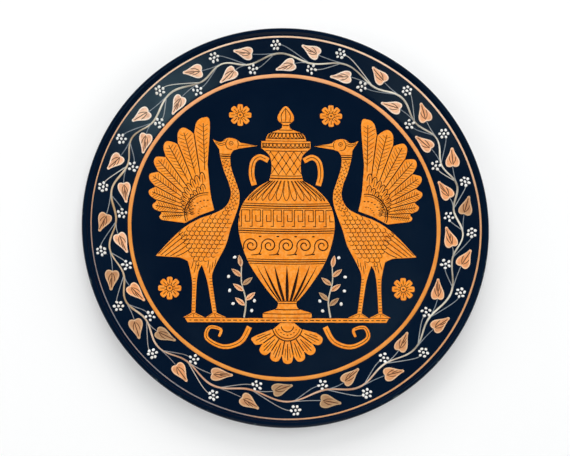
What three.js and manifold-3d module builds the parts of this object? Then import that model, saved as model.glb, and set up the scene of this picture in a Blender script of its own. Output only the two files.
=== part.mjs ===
// Wall plate of dark glazed clay, painted in raised slip: an ivy wreath round the border and a
// heraldic picture of two cranes beside a lidded jar in the flat middle.
// Millimetres, +Z up. The origin is on the standing face of the foot, under the middle of the
// plate, and +Y is the top of the picture.
import * as THREE from 'three';
import { mergeVertices } from 'three/addons/utils/BufferGeometryUtils.js';
import Module from 'manifold-3d';

const wasm = await Module();
wasm.setup();

// Clay plate
const tondoRadius = 93.5;
const borderWidth = 22.9;
const borderRise = 4.2;
const lipWidth = 3.6;
const lipRise = 1.3;
const floorThickness = 5.5;
const borderThickness = 5;
const facets = 72;

// Underside of the plate, where its flat floor turns up to run along under the border
const underTurnStart = 3;
const underTurnEnd = 4;
const underTurnRise = 0.4;
const underRimInset = 1;

// Foot ring, with the two holes for a hanging cord
const footHeight = 6;
const footInset = 19;
const footWidth = 7.5;
const footTaper = 1.1;
const footEdgeRound = 0.8;
const hangHoleRadius = 1.5;
const hangHoleSpacing = 14;
const hangHoleFacets = 12;

// Painted slip: how thick it lies, and how far it stands off the sloping border
const slipThickness = 0.3;
const slipGap = 0.05;

// Stripe near the edge and ring round the picture
const stripeInset = 0.85;
const stripeWidth = 1.2;
const ringInset = 0.8;
const ringWidth = 2.6;

// Ivy wreath, brushed by hand and so unevenly spaced: the direction of each inward bend of the
// vine and of the leaf and berries that belong to it, in degrees from +X towards +Y
const bendAngles = [
  5.4, 21.6, 38.8, 57.7, 81, 102.7, 120.1, 142.2, 159.5,
  179, 197.6, 214.7, 234.1, 257.2, 282.2, 304.1, 325.8, 348.4,
];
const outerLeafAngles = [
  6.4, 22.6, 39.8, 58.7, 82, 103.8, 121.2, 143.3, 160.5,
  180.1, 198.6, 215.7, 235.1, 258.2, 283.2, 305, 326.8, 349.3,
];
const innerLeafAngles = [
  13, 31.5, 49.1, 69.9, 90, 111, 132.1, 150.1, 169.1,
  187.1, 205.4, 223.3, 246.8, 268.2, 292.4, 314.3, 336.8, 356,
];
const outerBerryAngles = [
  13.9, 30.5, 48.4, 72.4, 93.1, 113, 133.2, 152.7, 168.9,
  189, 206.8, 224.6, 246.9, 272.1, 294.5, 316.1, 338.2, 357.5,
];
const innerBerryAngles = [
  3.2, 22.2, 39.8, 61.6, 80.7, 101.6, 123, 141, 159.4,
  176.5, 195, 214.5, 235.8, 259.3, 282, 305.4, 327.5, 346.2,
];
const wreathBand = 21.65;
const vineOffset = -1.1;
const vineSwing = 2.5;
const vineWidth = 1.3;
const vineSteps = 8;
const stalkSteps = 3;
const stalkWidth = 0.8;
const stalkTipWidth = 0.6;
const stalkGap = 0.3;

// Kinds of leaf and of berry cluster. Offsets run outwards from the middle line of the vine; the
// stalk leaves the vine at stalkFrom, a share of the way from one bend to the next, and bulges.
const outerLeaf = {
  angles: outerLeafAngles,
  length: 12,
  halfWidth: 4.1,
  offset: 5.3,
  tilt: 22,
  stalkFrom: -0.46,
  bulge: -0.3,
};
const innerLeaf = {
  angles: innerLeafAngles,
  length: 12.6,
  halfWidth: 3.9,
  offset: -5.6,
  tilt: -20,
  stalkFrom: 0.06,
  bulge: 0.4,
};
const outerBerries = {
  angles: outerBerryAngles,
  count: 6,
  offset: 7.4,
  stalkFrom: 0.02,
  bulge: 0.55,
};
const innerBerries = {
  angles: innerBerryAngles,
  count: 5,
  offset: -5.6,
  stalkFrom: -0.42,
  bulge: 0.7,
};
const berryRing = 2.3;
const berryRadius = 0.85;
const berryWaist = 1.1;

// Room that the picture leaves inside the ring
const pictureMargin = 3;

// Picture, in millimetres as drawn, before it is fitted to the ring; pictureLine is the dark line
// left open between two painted shapes
const pictureLine = 0.6;
const groundHeight = -55.5;
const groundReach = 59;
const groundThickness = 2.2;
const groundBevel = 1.4;
const jarHeight = 105;
const lidHeight = 21;
const jarDrawn = 105;
const lidDrawn = 21;
const handleWidth = 3;
const featherCount = 8;
const featherLength = 58;
const featherShortening = 4.4;
const featherNotch = 0.83;
const sprigLeafLength = 7.5;
const rosettePetals = 8;
const rosetteRadius = 6.5;
const rosetteNotch = 0.55;
const palmettePetals = 7;
const palmetteRadius = 22;
const palmetteNotch = 0.78;
const palmetteNeck = 4;
const palmetteShoulder = 8;
const palmetteDrop = 3.4;
const scrollWidth = 3;
const scrollTipWidth = 1.2;

// Sizes that follow from the ones above
const borderRadius = tondoRadius + borderWidth;
const plateRadius = borderRadius + lipWidth;
const tondoTop = footHeight + floorThickness;
const borderTop = tondoTop + borderRise;
const borderSlope = borderRise / borderWidth;
const stripeOuter = borderRadius - stripeInset;
const stripeInner = stripeOuter - stripeWidth;
const ringOuter = tondoRadius - ringInset;
const ringInner = ringOuter - ringWidth;
const wreathFit = (stripeInner - ringOuter) / wreathBand;
const vineRadius = (stripeInner + ringOuter) / 2 + vineOffset * wreathFit;
const footOuter = tondoRadius - footInset;

const paints = {
  glaze: { color: '#0a1a2e', roughness: 0.22, metalness: 0 },
  clay: { color: '#a85f36', roughness: 0.85, metalness: 0 },
  orange: { color: '#f0963a', roughness: 0.5, metalness: 0 },
  cream: { color: '#d8cfc0', roughness: 0.55, metalness: 0 },
  copper: { color: '#e3a877', roughness: 0.4, metalness: 0 },
};

const plate = new THREE.Group();

function addPiece(name, geometry, paint, parent = plate) {
  const mesh = new THREE.Mesh(geometry, new THREE.MeshStandardMaterial(paint));
  mesh.name = name;
  parent.add(mesh);
  return mesh;
}

function turned(points) {
  const profile = points.map(([radius, height]) => new THREE.Vector2(radius, height));
  return new THREE.LatheGeometry(profile, facets).rotateX(Math.PI / 2);
}

function polar(radius, degrees) {
  const angle = THREE.MathUtils.degToRad(degrees);
  return new THREE.Vector2(radius * Math.cos(angle), radius * Math.sin(angle));
}

function solidOf(geometry) {
  const bare = geometry.clone();
  bare.deleteAttribute('normal');
  bare.deleteAttribute('uv');
  const merged = mergeVertices(bare);
  const vertProperties = new Float32Array(merged.attributes.position.array);
  const triVerts = new Uint32Array(merged.index.array);
  return new wasm.Manifold(new wasm.Mesh({ numProp: 3, vertProperties, triVerts }));
}

function geometryOf(solid) {
  const mesh = solid.getMesh();
  const geometry = new THREE.BufferGeometry();
  geometry.setAttribute('position', new THREE.BufferAttribute(mesh.vertProperties, 3));
  geometry.setIndex(new THREE.BufferAttribute(mesh.triVerts, 1));
  return geometry;
}

function joined(geometries) {
  let solid = solidOf(geometries[0]);
  for (const geometry of geometries.slice(1)) {
    solid = solid.add(solidOf(geometry));
  }
  return geometryOf(solid);
}

function slip(shape, curveSegments = 1) {
  return new THREE.ExtrudeGeometry(shape, {
    depth: slipThickness,
    bevelEnabled: false,
    curveSegments,
  });
}

// The clay's facets rise above the true cone between their edges, so the paint is laid at the
// height that they reach at most.
function borderHeight(radius) {
  const reached = radius / Math.cos(Math.PI / facets);
  return tondoTop + borderSlope * (reached - tondoRadius) + slipGap;
}

function laidOnBorder(geometry) {
  const position = geometry.attributes.position;
  for (let i = 0; i < position.count; i += 1) {
    const radius = Math.hypot(position.getX(i), position.getY(i));
    position.setZ(i, position.getZ(i) + borderHeight(radius));
  }
  return geometry;
}

// A brush stroke: the outline of a band that follows a curve and changes its width on the way
function strokeShape(curve, steps, widthAt) {
  const left = [];
  const right = [];
  for (let i = 0; i <= steps; i += 1) {
    const share = i / steps;
    const point = curve.getPoint(share);
    const along = curve.getTangent(share);
    const side = new THREE.Vector2(-along.y, along.x).multiplyScalar(widthAt(share) / 2);
    left.push(point.clone().add(side));
    right.unshift(point.clone().sub(side));
  }
  return new THREE.Shape([...left, ...right]);
}

// An outline from its starting point and its smooth runs, with a corner where two runs meet
function outlineShape(start, runs, mirror = 1) {
  const at = ([x, y]) => new THREE.Vector2(x * mirror, y);
  const shape = new THREE.Shape();
  shape.moveTo(at(start).x, at(start).y);
  for (const run of runs) {
    if (run.length === 1) {
      shape.lineTo(at(run[0]).x, at(run[0]).y);
    } else {
      shape.splineThru(run.map(at));
    }
  }
  return shape;
}

function makePlateBody() {
  const lipRadius = lipWidth / 2;
  const lipCentre = [plateRadius - lipRadius, borderTop + lipRise - lipRadius];
  const lipPoints = [-60, -30, 0, 30, 60, 90, 120, 150].map((degrees) => {
    const turn = polar(lipRadius, degrees);
    return [lipCentre[0] + turn.x, lipCentre[1] + turn.y];
  });
  const underEdge = borderTop - borderThickness;
  const underStart = footOuter + footWidth;
  return turned([
    [0, footHeight],
    [underStart, footHeight],
    [tondoRadius - underTurnStart, footHeight + underTurnRise],
    [tondoRadius + underTurnEnd, tondoTop - borderThickness + underTurnEnd * borderSlope],
    [borderRadius - underRimInset, underEdge],
    ...lipPoints,
    [borderRadius, borderTop],
    [tondoRadius, tondoTop],
    [0, tondoTop],
  ]);
}

function makeFootRing() {
  const footInner = footOuter - footWidth;
  const ring = turned([
    [footInner, footHeight],
    [footInner + footTaper, footEdgeRound],
    [footInner + footTaper + footEdgeRound, 0],
    [footOuter - footTaper - footEdgeRound, 0],
    [footOuter - footTaper, footEdgeRound],
    [footOuter, footHeight],
    [footInner, footHeight],
  ]);
  const length = 3 * footWidth;
  let solid = solidOf(ring);
  for (const side of [-1, 1]) {
    const drill = new THREE.CylinderGeometry(hangHoleRadius, hangHoleRadius, length, hangHoleFacets);
    drill.translate((side * hangHoleSpacing) / 2, footOuter - footWidth / 2, footHeight / 2);
    solid = solid.subtract(solidOf(drill));
  }
  return geometryOf(solid);
}

function makeOuterStripe() {
  const low = (radius) => tondoTop + borderSlope * (radius - tondoRadius) + slipGap;
  return turned([
    [stripeInner, low(stripeInner)],
    [stripeOuter, low(stripeOuter)],
    [stripeOuter, low(stripeOuter) + slipThickness],
    [stripeInner, low(stripeInner) + slipThickness],
    [stripeInner, low(stripeInner)],
  ]);
}

function makeTondoRing() {
  return turned([
    [ringInner, tondoTop],
    [ringOuter, tondoTop],
    [ringOuter, tondoTop + slipThickness],
    [ringInner, tondoTop + slipThickness],
    [ringInner, tondoTop],
  ]);
}

// A bend before the first or after the last is the same bend a turn earlier or later.
function bendAngle(k) {
  const turns = Math.floor(k / bendAngles.length);
  return bendAngles[k - turns * bendAngles.length] + 360 * turns;
}

// A point off the middle line of the wreath, in the wreath's drawn millimetres
function wreathPoint(degrees, offset) {
  return polar(vineRadius + offset * wreathFit, degrees);
}

// The direction that is a given share of the way from bend number k to the next one
function phaseAngle(k, phase) {
  const whole = Math.floor(phase);
  return THREE.MathUtils.lerp(bendAngle(k + whole), bendAngle(k + whole + 1), phase - whole);
}

function vineBend(phase) {
  return -vineSwing * Math.cos(2 * Math.PI * phase);
}

function vineShape() {
  const edge = (side) => {
    const points = [];
    for (let k = 0; k < bendAngles.length; k += 1) {
      for (let step = 0; step < vineSteps; step += 1) {
        const phase = step / vineSteps;
        points.push(wreathPoint(phaseAngle(k, phase), vineBend(phase) + (side * vineWidth) / 2));
      }
    }
    return points;
  };
  const shape = new THREE.Shape(edge(1));
  shape.holes.push(new THREE.Path(edge(-1).reverse()));
  return shape;
}

// A stalk leaves the middle line of the vine and gets thinner towards its tip.
function stalkShape(points) {
  const width = (share) => wreathFit * THREE.MathUtils.lerp(stalkWidth, stalkTipWidth, share);
  return strokeShape(new THREE.SplineCurve(points), stalkSteps, width);
}

function leafNotch(leaf, k) {
  const back = (leaf.length / 2 + stalkGap) * wreathFit;
  const heading = leaf.angles[k] + 90 - leaf.tilt;
  return wreathPoint(leaf.angles[k], leaf.offset).sub(polar(back, heading));
}

function berryShape(berries, k) {
  const centre = wreathPoint(berries.angles[k], berries.offset);
  const heading = berries.angles[k] - 90;
  const reach = (berryRing + berryRadius) * wreathFit;
  const halfSpread = THREE.MathUtils.radToDeg(berryRadius / (berryRing + berryRadius));
  const points = [];
  for (let i = 0; i < berries.count; i += 1) {
    const turn = heading + (360 * i) / berries.count;
    points.push(polar(reach, turn - halfSpread).add(centre));
    points.push(polar(reach, turn + halfSpread).add(centre));
    points.push(polar(berryWaist * wreathFit, turn + 180 / berries.count).add(centre));
  }
  return new THREE.Shape(points);
}

// From the vine to a cluster of berries, bulging away from the vine on the way
function berryStalk(berries, k) {
  const start = phaseAngle(k, berries.stalkFrom);
  const end = berries.angles[k];
  const on = (share, offset) => wreathPoint(THREE.MathUtils.lerp(start, end, share), offset);
  const rise = berries.offset;
  return stalkShape([
    on(0, vineBend(berries.stalkFrom)),
    on(0.55, berries.bulge * rise),
    on(0.8, 0.95 * rise),
    on(1, rise),
  ]);
}

function leafStalk(leaf, k) {
  const start = wreathPoint(phaseAngle(k, leaf.stalkFrom), vineBend(leaf.stalkFrom));
  const end = leafNotch(leaf, k);
  const middle = start.clone().lerp(end, 0.5);
  middle.setLength(middle.length() + leaf.bulge * wreathFit);
  return stalkShape([start, middle, end]);
}

function makeVine() {
  const strokes = [vineShape()];
  for (let k = 0; k < bendAngles.length; k += 1) {
    for (const berries of [outerBerries, innerBerries]) {
      strokes.push(berryStalk(berries, k));
      strokes.push(berryShape(berries, k));
    }
    strokes.push(leafStalk(outerLeaf, k));
    strokes.push(leafStalk(innerLeaf, k));
  }
  return laidOnBorder(joined(strokes.map((shape) => slip(shape))));
}

// A heart-shaped ivy leaf drawn round its middle, with its tip towards +Y of the wreath
function makeLeaf(leaf) {
  const length = leaf.length * wreathFit;
  const half = leaf.halfWidth * wreathFit;
  const heart = new THREE.Shape();
  heart.moveTo(0.07 * length, 0);
  heart.bezierCurveTo(-0.06 * length, -0.3 * half, -0.08 * length, -half, 0.19 * length, -1.02 * half);
  heart.bezierCurveTo(0.47 * length, -1.04 * half, 0.7 * length, -0.36 * half, length, -0.1 * half);
  heart.lineTo(length, 0.1 * half);
  heart.bezierCurveTo(0.7 * length, 0.3 * half, 0.47 * length, 0.9 * half, 0.22 * length, 0.9 * half);
  heart.bezierCurveTo(-0.05 * length, 0.92 * half, -0.05 * length, 0.3 * half, 0.07 * length, 0);
  const radius = vineRadius + leaf.offset * wreathFit;
  const geometry = slip(heart, 3);
  geometry.translate(-length / 2, 0, 0);
  geometry.rotateZ(THREE.MathUtils.degToRad(90 - leaf.tilt));
  geometry.translate(radius, 0, 0);
  return laidOnBorder(geometry);
}

function addLeaves(kind, leaf) {
  const geometry = makeLeaf(leaf);
  for (let k = 0; k < bendAngles.length; k += 1) {
    const place = new THREE.Group();
    place.rotation.z = THREE.MathUtils.degToRad(leaf.angles[k]);
    plate.add(place);
    addPiece(`ivy_leaf_${kind}_${String(k + 1).padStart(2, '0')}`, geometry, paints.copper, place);
  }
}

// A fan of rounded tips, as runs of an outline: feathers of a wing or petals of a palmette
function fanRuns(centre, fromDegrees, toDegrees, count, lengthAt, notchDepth) {
  const pitch = (toDegrees - fromDegrees) / (count - 1);
  const at = (degrees, reach) => {
    const point = polar(reach, degrees);
    return [centre[0] + point.x, centre[1] + point.y];
  };
  const runs = [];
  for (let i = 0; i < count; i += 1) {
    const degrees = fromDegrees + i * pitch;
    const reach = lengthAt(i);
    runs.push([
      at(degrees - 0.3 * pitch, 0.955 * reach),
      at(degrees, reach),
      at(degrees + 0.3 * pitch, 0.955 * reach),
      at(degrees + 0.5 * pitch, notchDepth * reach),
    ]);
  }
  return runs;
}

function laidOnTondo(shape, curveSegments = 2) {
  return slip(shape, curveSegments).translate(0, 0, tondoTop);
}

function pictureStroke(points, steps, widths, side) {
  const at = ([x, y]) => new THREE.Vector2(x * side, y);
  const width = (share) => THREE.MathUtils.lerp(widths[0], widths[1], share);
  return strokeShape(new THREE.SplineCurve(points.map(at)), steps, width);
}

function makeGroundLine() {
  const under = groundHeight - groundThickness;
  return laidOnTondo(outlineShape([-groundReach, groundHeight], [
    [[groundReach, groundHeight]],
    [[groundReach - groundBevel, under]],
    [[groundBevel - groundReach, under]],
  ]));
}

// A drawn point of what stands on the ground line, which is as much taller than drawn as the jar is
function raised([x, y]) {
  const ground = groundHeight + pictureLine;
  return [x, ground + ((y - ground) * jarHeight) / jarDrawn];
}

// A point of the jar, from its height above the jar's standing face as drawn
function onJar([x, y]) {
  return raised([x, groundHeight + pictureLine + y]);
}

// Both sides of the jar come from the runs of its right side.
function makeJar() {
  const foot = [[14, 2], [12.5, 3], [6.5, 5], [5, 8.5]];
  const belly = [[13, 18], [23, 34], [28, 52], [26, 66], [18, 76], [10, 81]];
  const neck = [[8.5, 88], [9.5, 96], [14.5, 101]];
  const back = (run, before) => [...run.slice(0, -1).reverse(), before].map(([x, y]) => [-x, y]);
  const runs = [
    [[14, 0]],
    foot,
    belly,
    neck,
    [[14.5, jarDrawn]],
    [[-14.5, jarDrawn]],
    [[-14.5, 101]],
    back(neck, belly.at(-1)),
    back(belly, foot.at(-1)),
    back(foot, [14, 0]),
  ];
  return laidOnTondo(outlineShape(onJar([-14, 0]), runs.map((run) => run.map(onJar))), 3);
}

function makeLid() {
  const bottom = onJar([0, jarDrawn])[1] + pictureLine;
  const up = ([x, y]) => [x, bottom + (y * lidHeight) / lidDrawn];
  return laidOnTondo(outlineShape(up([-12, 0]), [
    [[12, 0]].map(up),
    [[10, 4], [3, 7], [1.8, 10]].map(up),
    [[4.5, 12.5], [4.2, 16], [0, lidDrawn], [-4.2, 16], [-4.5, 12.5], [-1.8, 10]].map(up),
    [[-3, 7], [-10, 4], [-12, 0]].map(up),
  ]), 3);
}

function makeHandle(side) {
  const points = [[10.6, 93.4], [15.5, 95.5], [19.4, 92.4], [20.4, 84.9], [18.9, 78.5]].map(onJar);
  return laidOnTondo(pictureStroke(points, 10, [handleWidth, handleWidth], side));
}

function makeCrane(side) {
  const ground = groundHeight + pictureLine;
  const runs = [
    [[27, 49]],
    [[30, 51.2], [34.5, 51.7], [38.5, 49.2]],
    [[43, 50.8]],
    [[39.3, 45]],
    [[38.6, 40], [36.5, 32], [33.5, 24], [32.5, 17], [36, 10], [43, 6], [50, 3.5]],
    [[58, -1], [66, -8], [76, -19]],
    [[68, -19.5], [62, -20], [57.5, -22]],
    [[56, -28], [54.9, -36], [55.2, ground + 2.5]],
    [[60, ground]],
    [[48, ground]],
    [[53.3, ground + 2.5]],
    [[52.6, -36], [51.5, -28], [49.5, -24]],
    [[48, -28], [45.8, -36], [43.1, ground + 2.5]],
    [[47, ground]],
    [[35.5, ground]],
    [[41, ground + 2.5]],
    [[43.3, -36], [43.4, -29], [40, -21]],
    [[35.5, -12], [33, -3], [30.5, 4], [28, 12], [27.8, 19], [30, 26], [32.5, 34], [33, 41], [31, 44.6]],
    [[28, 45.6]],
  ];
  return laidOnTondo(outlineShape(raised([17, 47.4]), runs.map((run) => run.map(raised)), side));
}

function makeWing(side) {
  const length = (i) => featherLength - featherShortening * i;
  const runs = [
    [[44.6, 18], [46.4, 36]],
    ...fanRuns([47, 6], 88, -4, featherCount, length, featherNotch),
    [[59.5, 0.6]],
    [[51, 5.2]],
  ];
  return laidOnTondo(outlineShape(raised([42.5, 8.4]), runs.map((run) => run.map(raised)), side));
}

function makeSprig(side) {
  const stem = [[25, -54.6], [24, -45], [26.5, -34], [25.5, -23]];
  const strokes = [pictureStroke(stem.map(raised), 8, [1.3, 0.8], side)];
  const leaf = [[0.35, 1.3], [0.75, 0.9], [1, 0], [0.75, -0.9], [0.35, -1.3]];
  for (const [x, y, lean] of [
    [24.4, -48, 38], [24.2, -45, 140], [25.3, -39.5, 35], [25.9, -36, 142], [26.4, -31, 38], [26, -25, 90],
  ]) {
    const along = polar(1, lean);
    const base = raised([x, y]);
    const place = ([share, aside]) => [
      base[0] + along.x * share * sprigLeafLength - along.y * aside,
      base[1] + along.y * share * sprigLeafLength + along.x * aside,
    ];
    strokes.push(outlineShape(base, [leaf.map(place)], side));
  }
  return joined(strokes.map((shape) => slip(shape))).translate(0, 0, tondoTop);
}

function makeRosette(centre, side) {
  const last = 360 - 360 / rosettePetals;
  const runs = fanRuns(centre, 0, last, rosettePetals, () => rosetteRadius, rosetteNotch);
  return laidOnTondo(outlineShape(runs.at(-1).at(-1), runs, side), 1);
}

function makePalmette() {
  const top = groundHeight - groundThickness - pictureLine;
  const low = top - palmetteDrop;
  const petals = fanRuns([0, top - 1.5], 205, 335, palmettePetals, () => palmetteRadius, palmetteNotch);
  return laidOnTondo(outlineShape([-palmetteNeck, top], [
    [[-palmetteShoulder, low]],
    ...petals,
    [[palmetteShoulder, low]],
    [[palmetteNeck, top]],
  ]));
}

function makeScroll(side) {
  const points = [[22, -60.5], [27, -69], [37, -72], [46.5, -67], [45, -60.8], [38.5, -62], [39.5, -66]];
  return laidOnTondo(pictureStroke(points, 18, [scrollWidth, scrollTipWidth], side));
}

// The furthest point of the whole picture decides how large it is painted.
function fitToRing(meshes) {
  let reach = 0;
  for (const { geometry } of meshes) {
    const { array } = geometry.attributes.position;
    for (let i = 0; i < array.length; i += 3) {
      reach = Math.max(reach, Math.hypot(array[i], array[i + 1]));
    }
  }
  const fit = (ringInner - pictureMargin) / reach;
  for (const { geometry } of meshes) {
    geometry.scale(fit, fit, 1);
  }
}

addPiece('plate_body', makePlateBody(), paints.glaze);
addPiece('foot_ring', makeFootRing(), paints.clay);
addPiece('outer_stripe', makeOuterStripe(), paints.orange);
addPiece('tondo_ring', makeTondoRing(), paints.orange);
addPiece('ivy_vine', makeVine(), paints.cream);
addLeaves('outer', outerLeaf);
addLeaves('inner', innerLeaf);

const picture = [
  addPiece('ground_line', makeGroundLine(), paints.orange),
  addPiece('jar', makeJar(), paints.orange),
  addPiece('jar_lid', makeLid(), paints.orange),
  addPiece('palmette', makePalmette(), paints.orange),
];
for (const [name, side] of [['left', -1], ['right', 1]]) {
  picture.push(
    addPiece(`jar_handle_${name}`, makeHandle(side), paints.orange),
    addPiece(`crane_${name}`, makeCrane(side), paints.orange),
    addPiece(`crane_wing_${name}`, makeWing(side), paints.orange),
    addPiece(`sprig_${name}`, makeSprig(side), paints.cream),
    addPiece(`rosette_upper_${name}`, makeRosette(raised([27, 66]), side), paints.orange),
    addPiece(`rosette_lower_${name}`, makeRosette(raised([68, -38]), side), paints.orange),
    addPiece(`scroll_${name}`, makeScroll(side), paints.orange),
  );
}
fitToRing(picture);

export default plate;
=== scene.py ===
import logging
import math
import random
from dataclasses import dataclass, field
from enum import Enum
from typing import Callable, Sequence

import bmesh
import bpy
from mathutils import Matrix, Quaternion, Vector


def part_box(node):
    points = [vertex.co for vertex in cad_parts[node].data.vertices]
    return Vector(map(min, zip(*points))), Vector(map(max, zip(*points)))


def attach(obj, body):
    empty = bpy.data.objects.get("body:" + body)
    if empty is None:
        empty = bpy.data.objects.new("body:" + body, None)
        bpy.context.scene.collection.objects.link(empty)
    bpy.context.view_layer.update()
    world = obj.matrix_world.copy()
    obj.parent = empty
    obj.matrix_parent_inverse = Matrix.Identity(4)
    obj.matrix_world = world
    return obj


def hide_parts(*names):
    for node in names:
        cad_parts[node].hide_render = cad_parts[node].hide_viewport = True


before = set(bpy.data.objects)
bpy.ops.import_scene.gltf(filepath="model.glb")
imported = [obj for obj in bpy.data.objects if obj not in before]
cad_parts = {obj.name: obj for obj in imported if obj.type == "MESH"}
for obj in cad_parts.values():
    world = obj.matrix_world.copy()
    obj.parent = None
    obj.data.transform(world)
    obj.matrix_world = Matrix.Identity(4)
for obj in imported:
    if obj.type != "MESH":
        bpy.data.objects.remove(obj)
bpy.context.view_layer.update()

MM = 0.001
ROUND_END = (30, 58, 82)  # directions, in degrees, at which the round end of a stroke is sampled
DOT_SIDES = 14
LEAST_HEIGHT = 0.35  # share of its height that a stroke keeps where it is thinnest
LOG = logging.getLogger("plate")

Colour = tuple[float, float, float, float]
Path = list[Vector]


class Section(Enum):
    """Cross sections of a brush stroke, as (share of half width, share of height)."""

    FINE = ((-1.0, 0.0), (-0.5, 0.85), (0.5, 0.85), (1.0, 0.0))
    ROUND = (
        (-1.0, 0.0), (-0.82, 0.52), (-0.42, 0.9), (0.0, 1.0),
        (0.42, 0.9), (0.82, 0.52), (1.0, 0.0),
    )


class Slot(Enum):
    """Finishes that the record names."""

    GLAZE = "dark_glaze"
    CLAY = "bare_clay"
    ORANGE = "orange_slip"
    CREAM = "cream_slip"
    COPPER = "copper_slip"


def paint(code: str) -> Colour:
    """Turns a colour code into light values.

    Args:
        code: Six hexadecimal digits, red first.

    Returns:
        Linear red, green and blue, and full opacity.
    """
    parts = [int(code[i:i + 2], 16) / 255 for i in (0, 2, 4)]
    linear = [c / 12.92 if c <= 0.04045 else ((c + 0.055) / 1.055) ** 2.4 for c in parts]
    return (linear[0], linear[1], linear[2], 1.0)


def polar(radius: float, degrees: float) -> Vector:
    """Gives the flat point at a radius and a direction."""
    angle = math.radians(degrees)
    return Vector((radius * math.cos(angle), radius * math.sin(angle)))


def curve(points: Sequence[Vector], steps: int) -> Path:
    """Samples the smooth curve that passes through all the points.

    Args:
        points: Flat points that the curve passes through.
        steps: Samples between one point and the next.

    Returns:
        The sampled points, first and last included.
    """
    last = len(points) - 1
    path = []
    for i in range(last):
        before, start = points[max(i - 1, 0)], points[i]
        end, after = points[i + 1], points[min(i + 2, last)]
        lead, trail = (end - before) / 2, (after - start) / 2
        for step in range(steps):
            t = step / steps
            path.append(
                (2 * start - 2 * end + lead + trail) * t ** 3
                + (3 * end - 3 * start - 2 * lead - trail) * t ** 2
                + lead * t + start
            )
    path.append(points[last].copy())
    return path


def headings(path: Path, closed: bool = False) -> Path:
    """Gives the unit direction of travel at each point of a path.

    Args:
        path: Points of the line.
        closed: Whether its end meets its start.

    Returns:
        One direction for each point.
    """
    count = len(path)
    found = []
    for i in range(count):
        back = path[i - 1] if closed or i else path[0]
        ahead = path[(i + 1) % count] if closed or i < count - 1 else path[-1]
        step = ahead - back
        found.append(step.normalized() if step.length > 1e-9 else Vector((1.0, 0.0)))
    return found


def leftward(outline: Path) -> Path:
    """Gives a closed outline so that it runs round to the left."""
    area = sum(a.cross(b) for a, b in zip(outline, outline[1:] + outline[:1]))
    return outline if area > 0 else outline[::-1]


def inside(point: Vector, outline: Path) -> bool:
    """Tells whether a point lies inside a closed outline.

    Args:
        point: The point.
        outline: The outline.

    Returns:
        True inside.
    """
    found = False
    for i, a in enumerate(outline):
        b = outline[i - 1]
        if (a.y > point.y) != (b.y > point.y):
            if point.x < a.x + (point.y - a.y) / (b.y - a.y) * (b.x - a.x):
                found = not found
    return found


def clipped(path: Path, outline: Path) -> list[Path]:
    """Cuts a path into the runs of it that lie inside an outline.

    Args:
        path: Points of the line.
        outline: Closed outline that limits it.

    Returns:
        Each run of two or more points that stays inside.
    """
    runs: list[Path] = []
    run: Path = []
    for point in path:
        if inside(point, outline):
            run.append(point)
            continue
        if len(run) > 1:
            runs.append(run)
        run = []
    if len(run) > 1:
        runs.append(run)
    return runs


@dataclass
class PlateSurface:
    """Upper face of the plate that the paint lies on: flat in the middle, a cone on the border."""

    tondo_radius: float = 93.5
    tondo_top: float = 11.5
    border_width: float = 22.9
    border_rise: float = 4.2

    def height(self, point: Vector) -> float:
        """Gives the height of the clay at a point."""
        out = max(point.length - self.tondo_radius, 0.0)
        return self.tondo_top + out * self.border_rise / self.border_width


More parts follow.
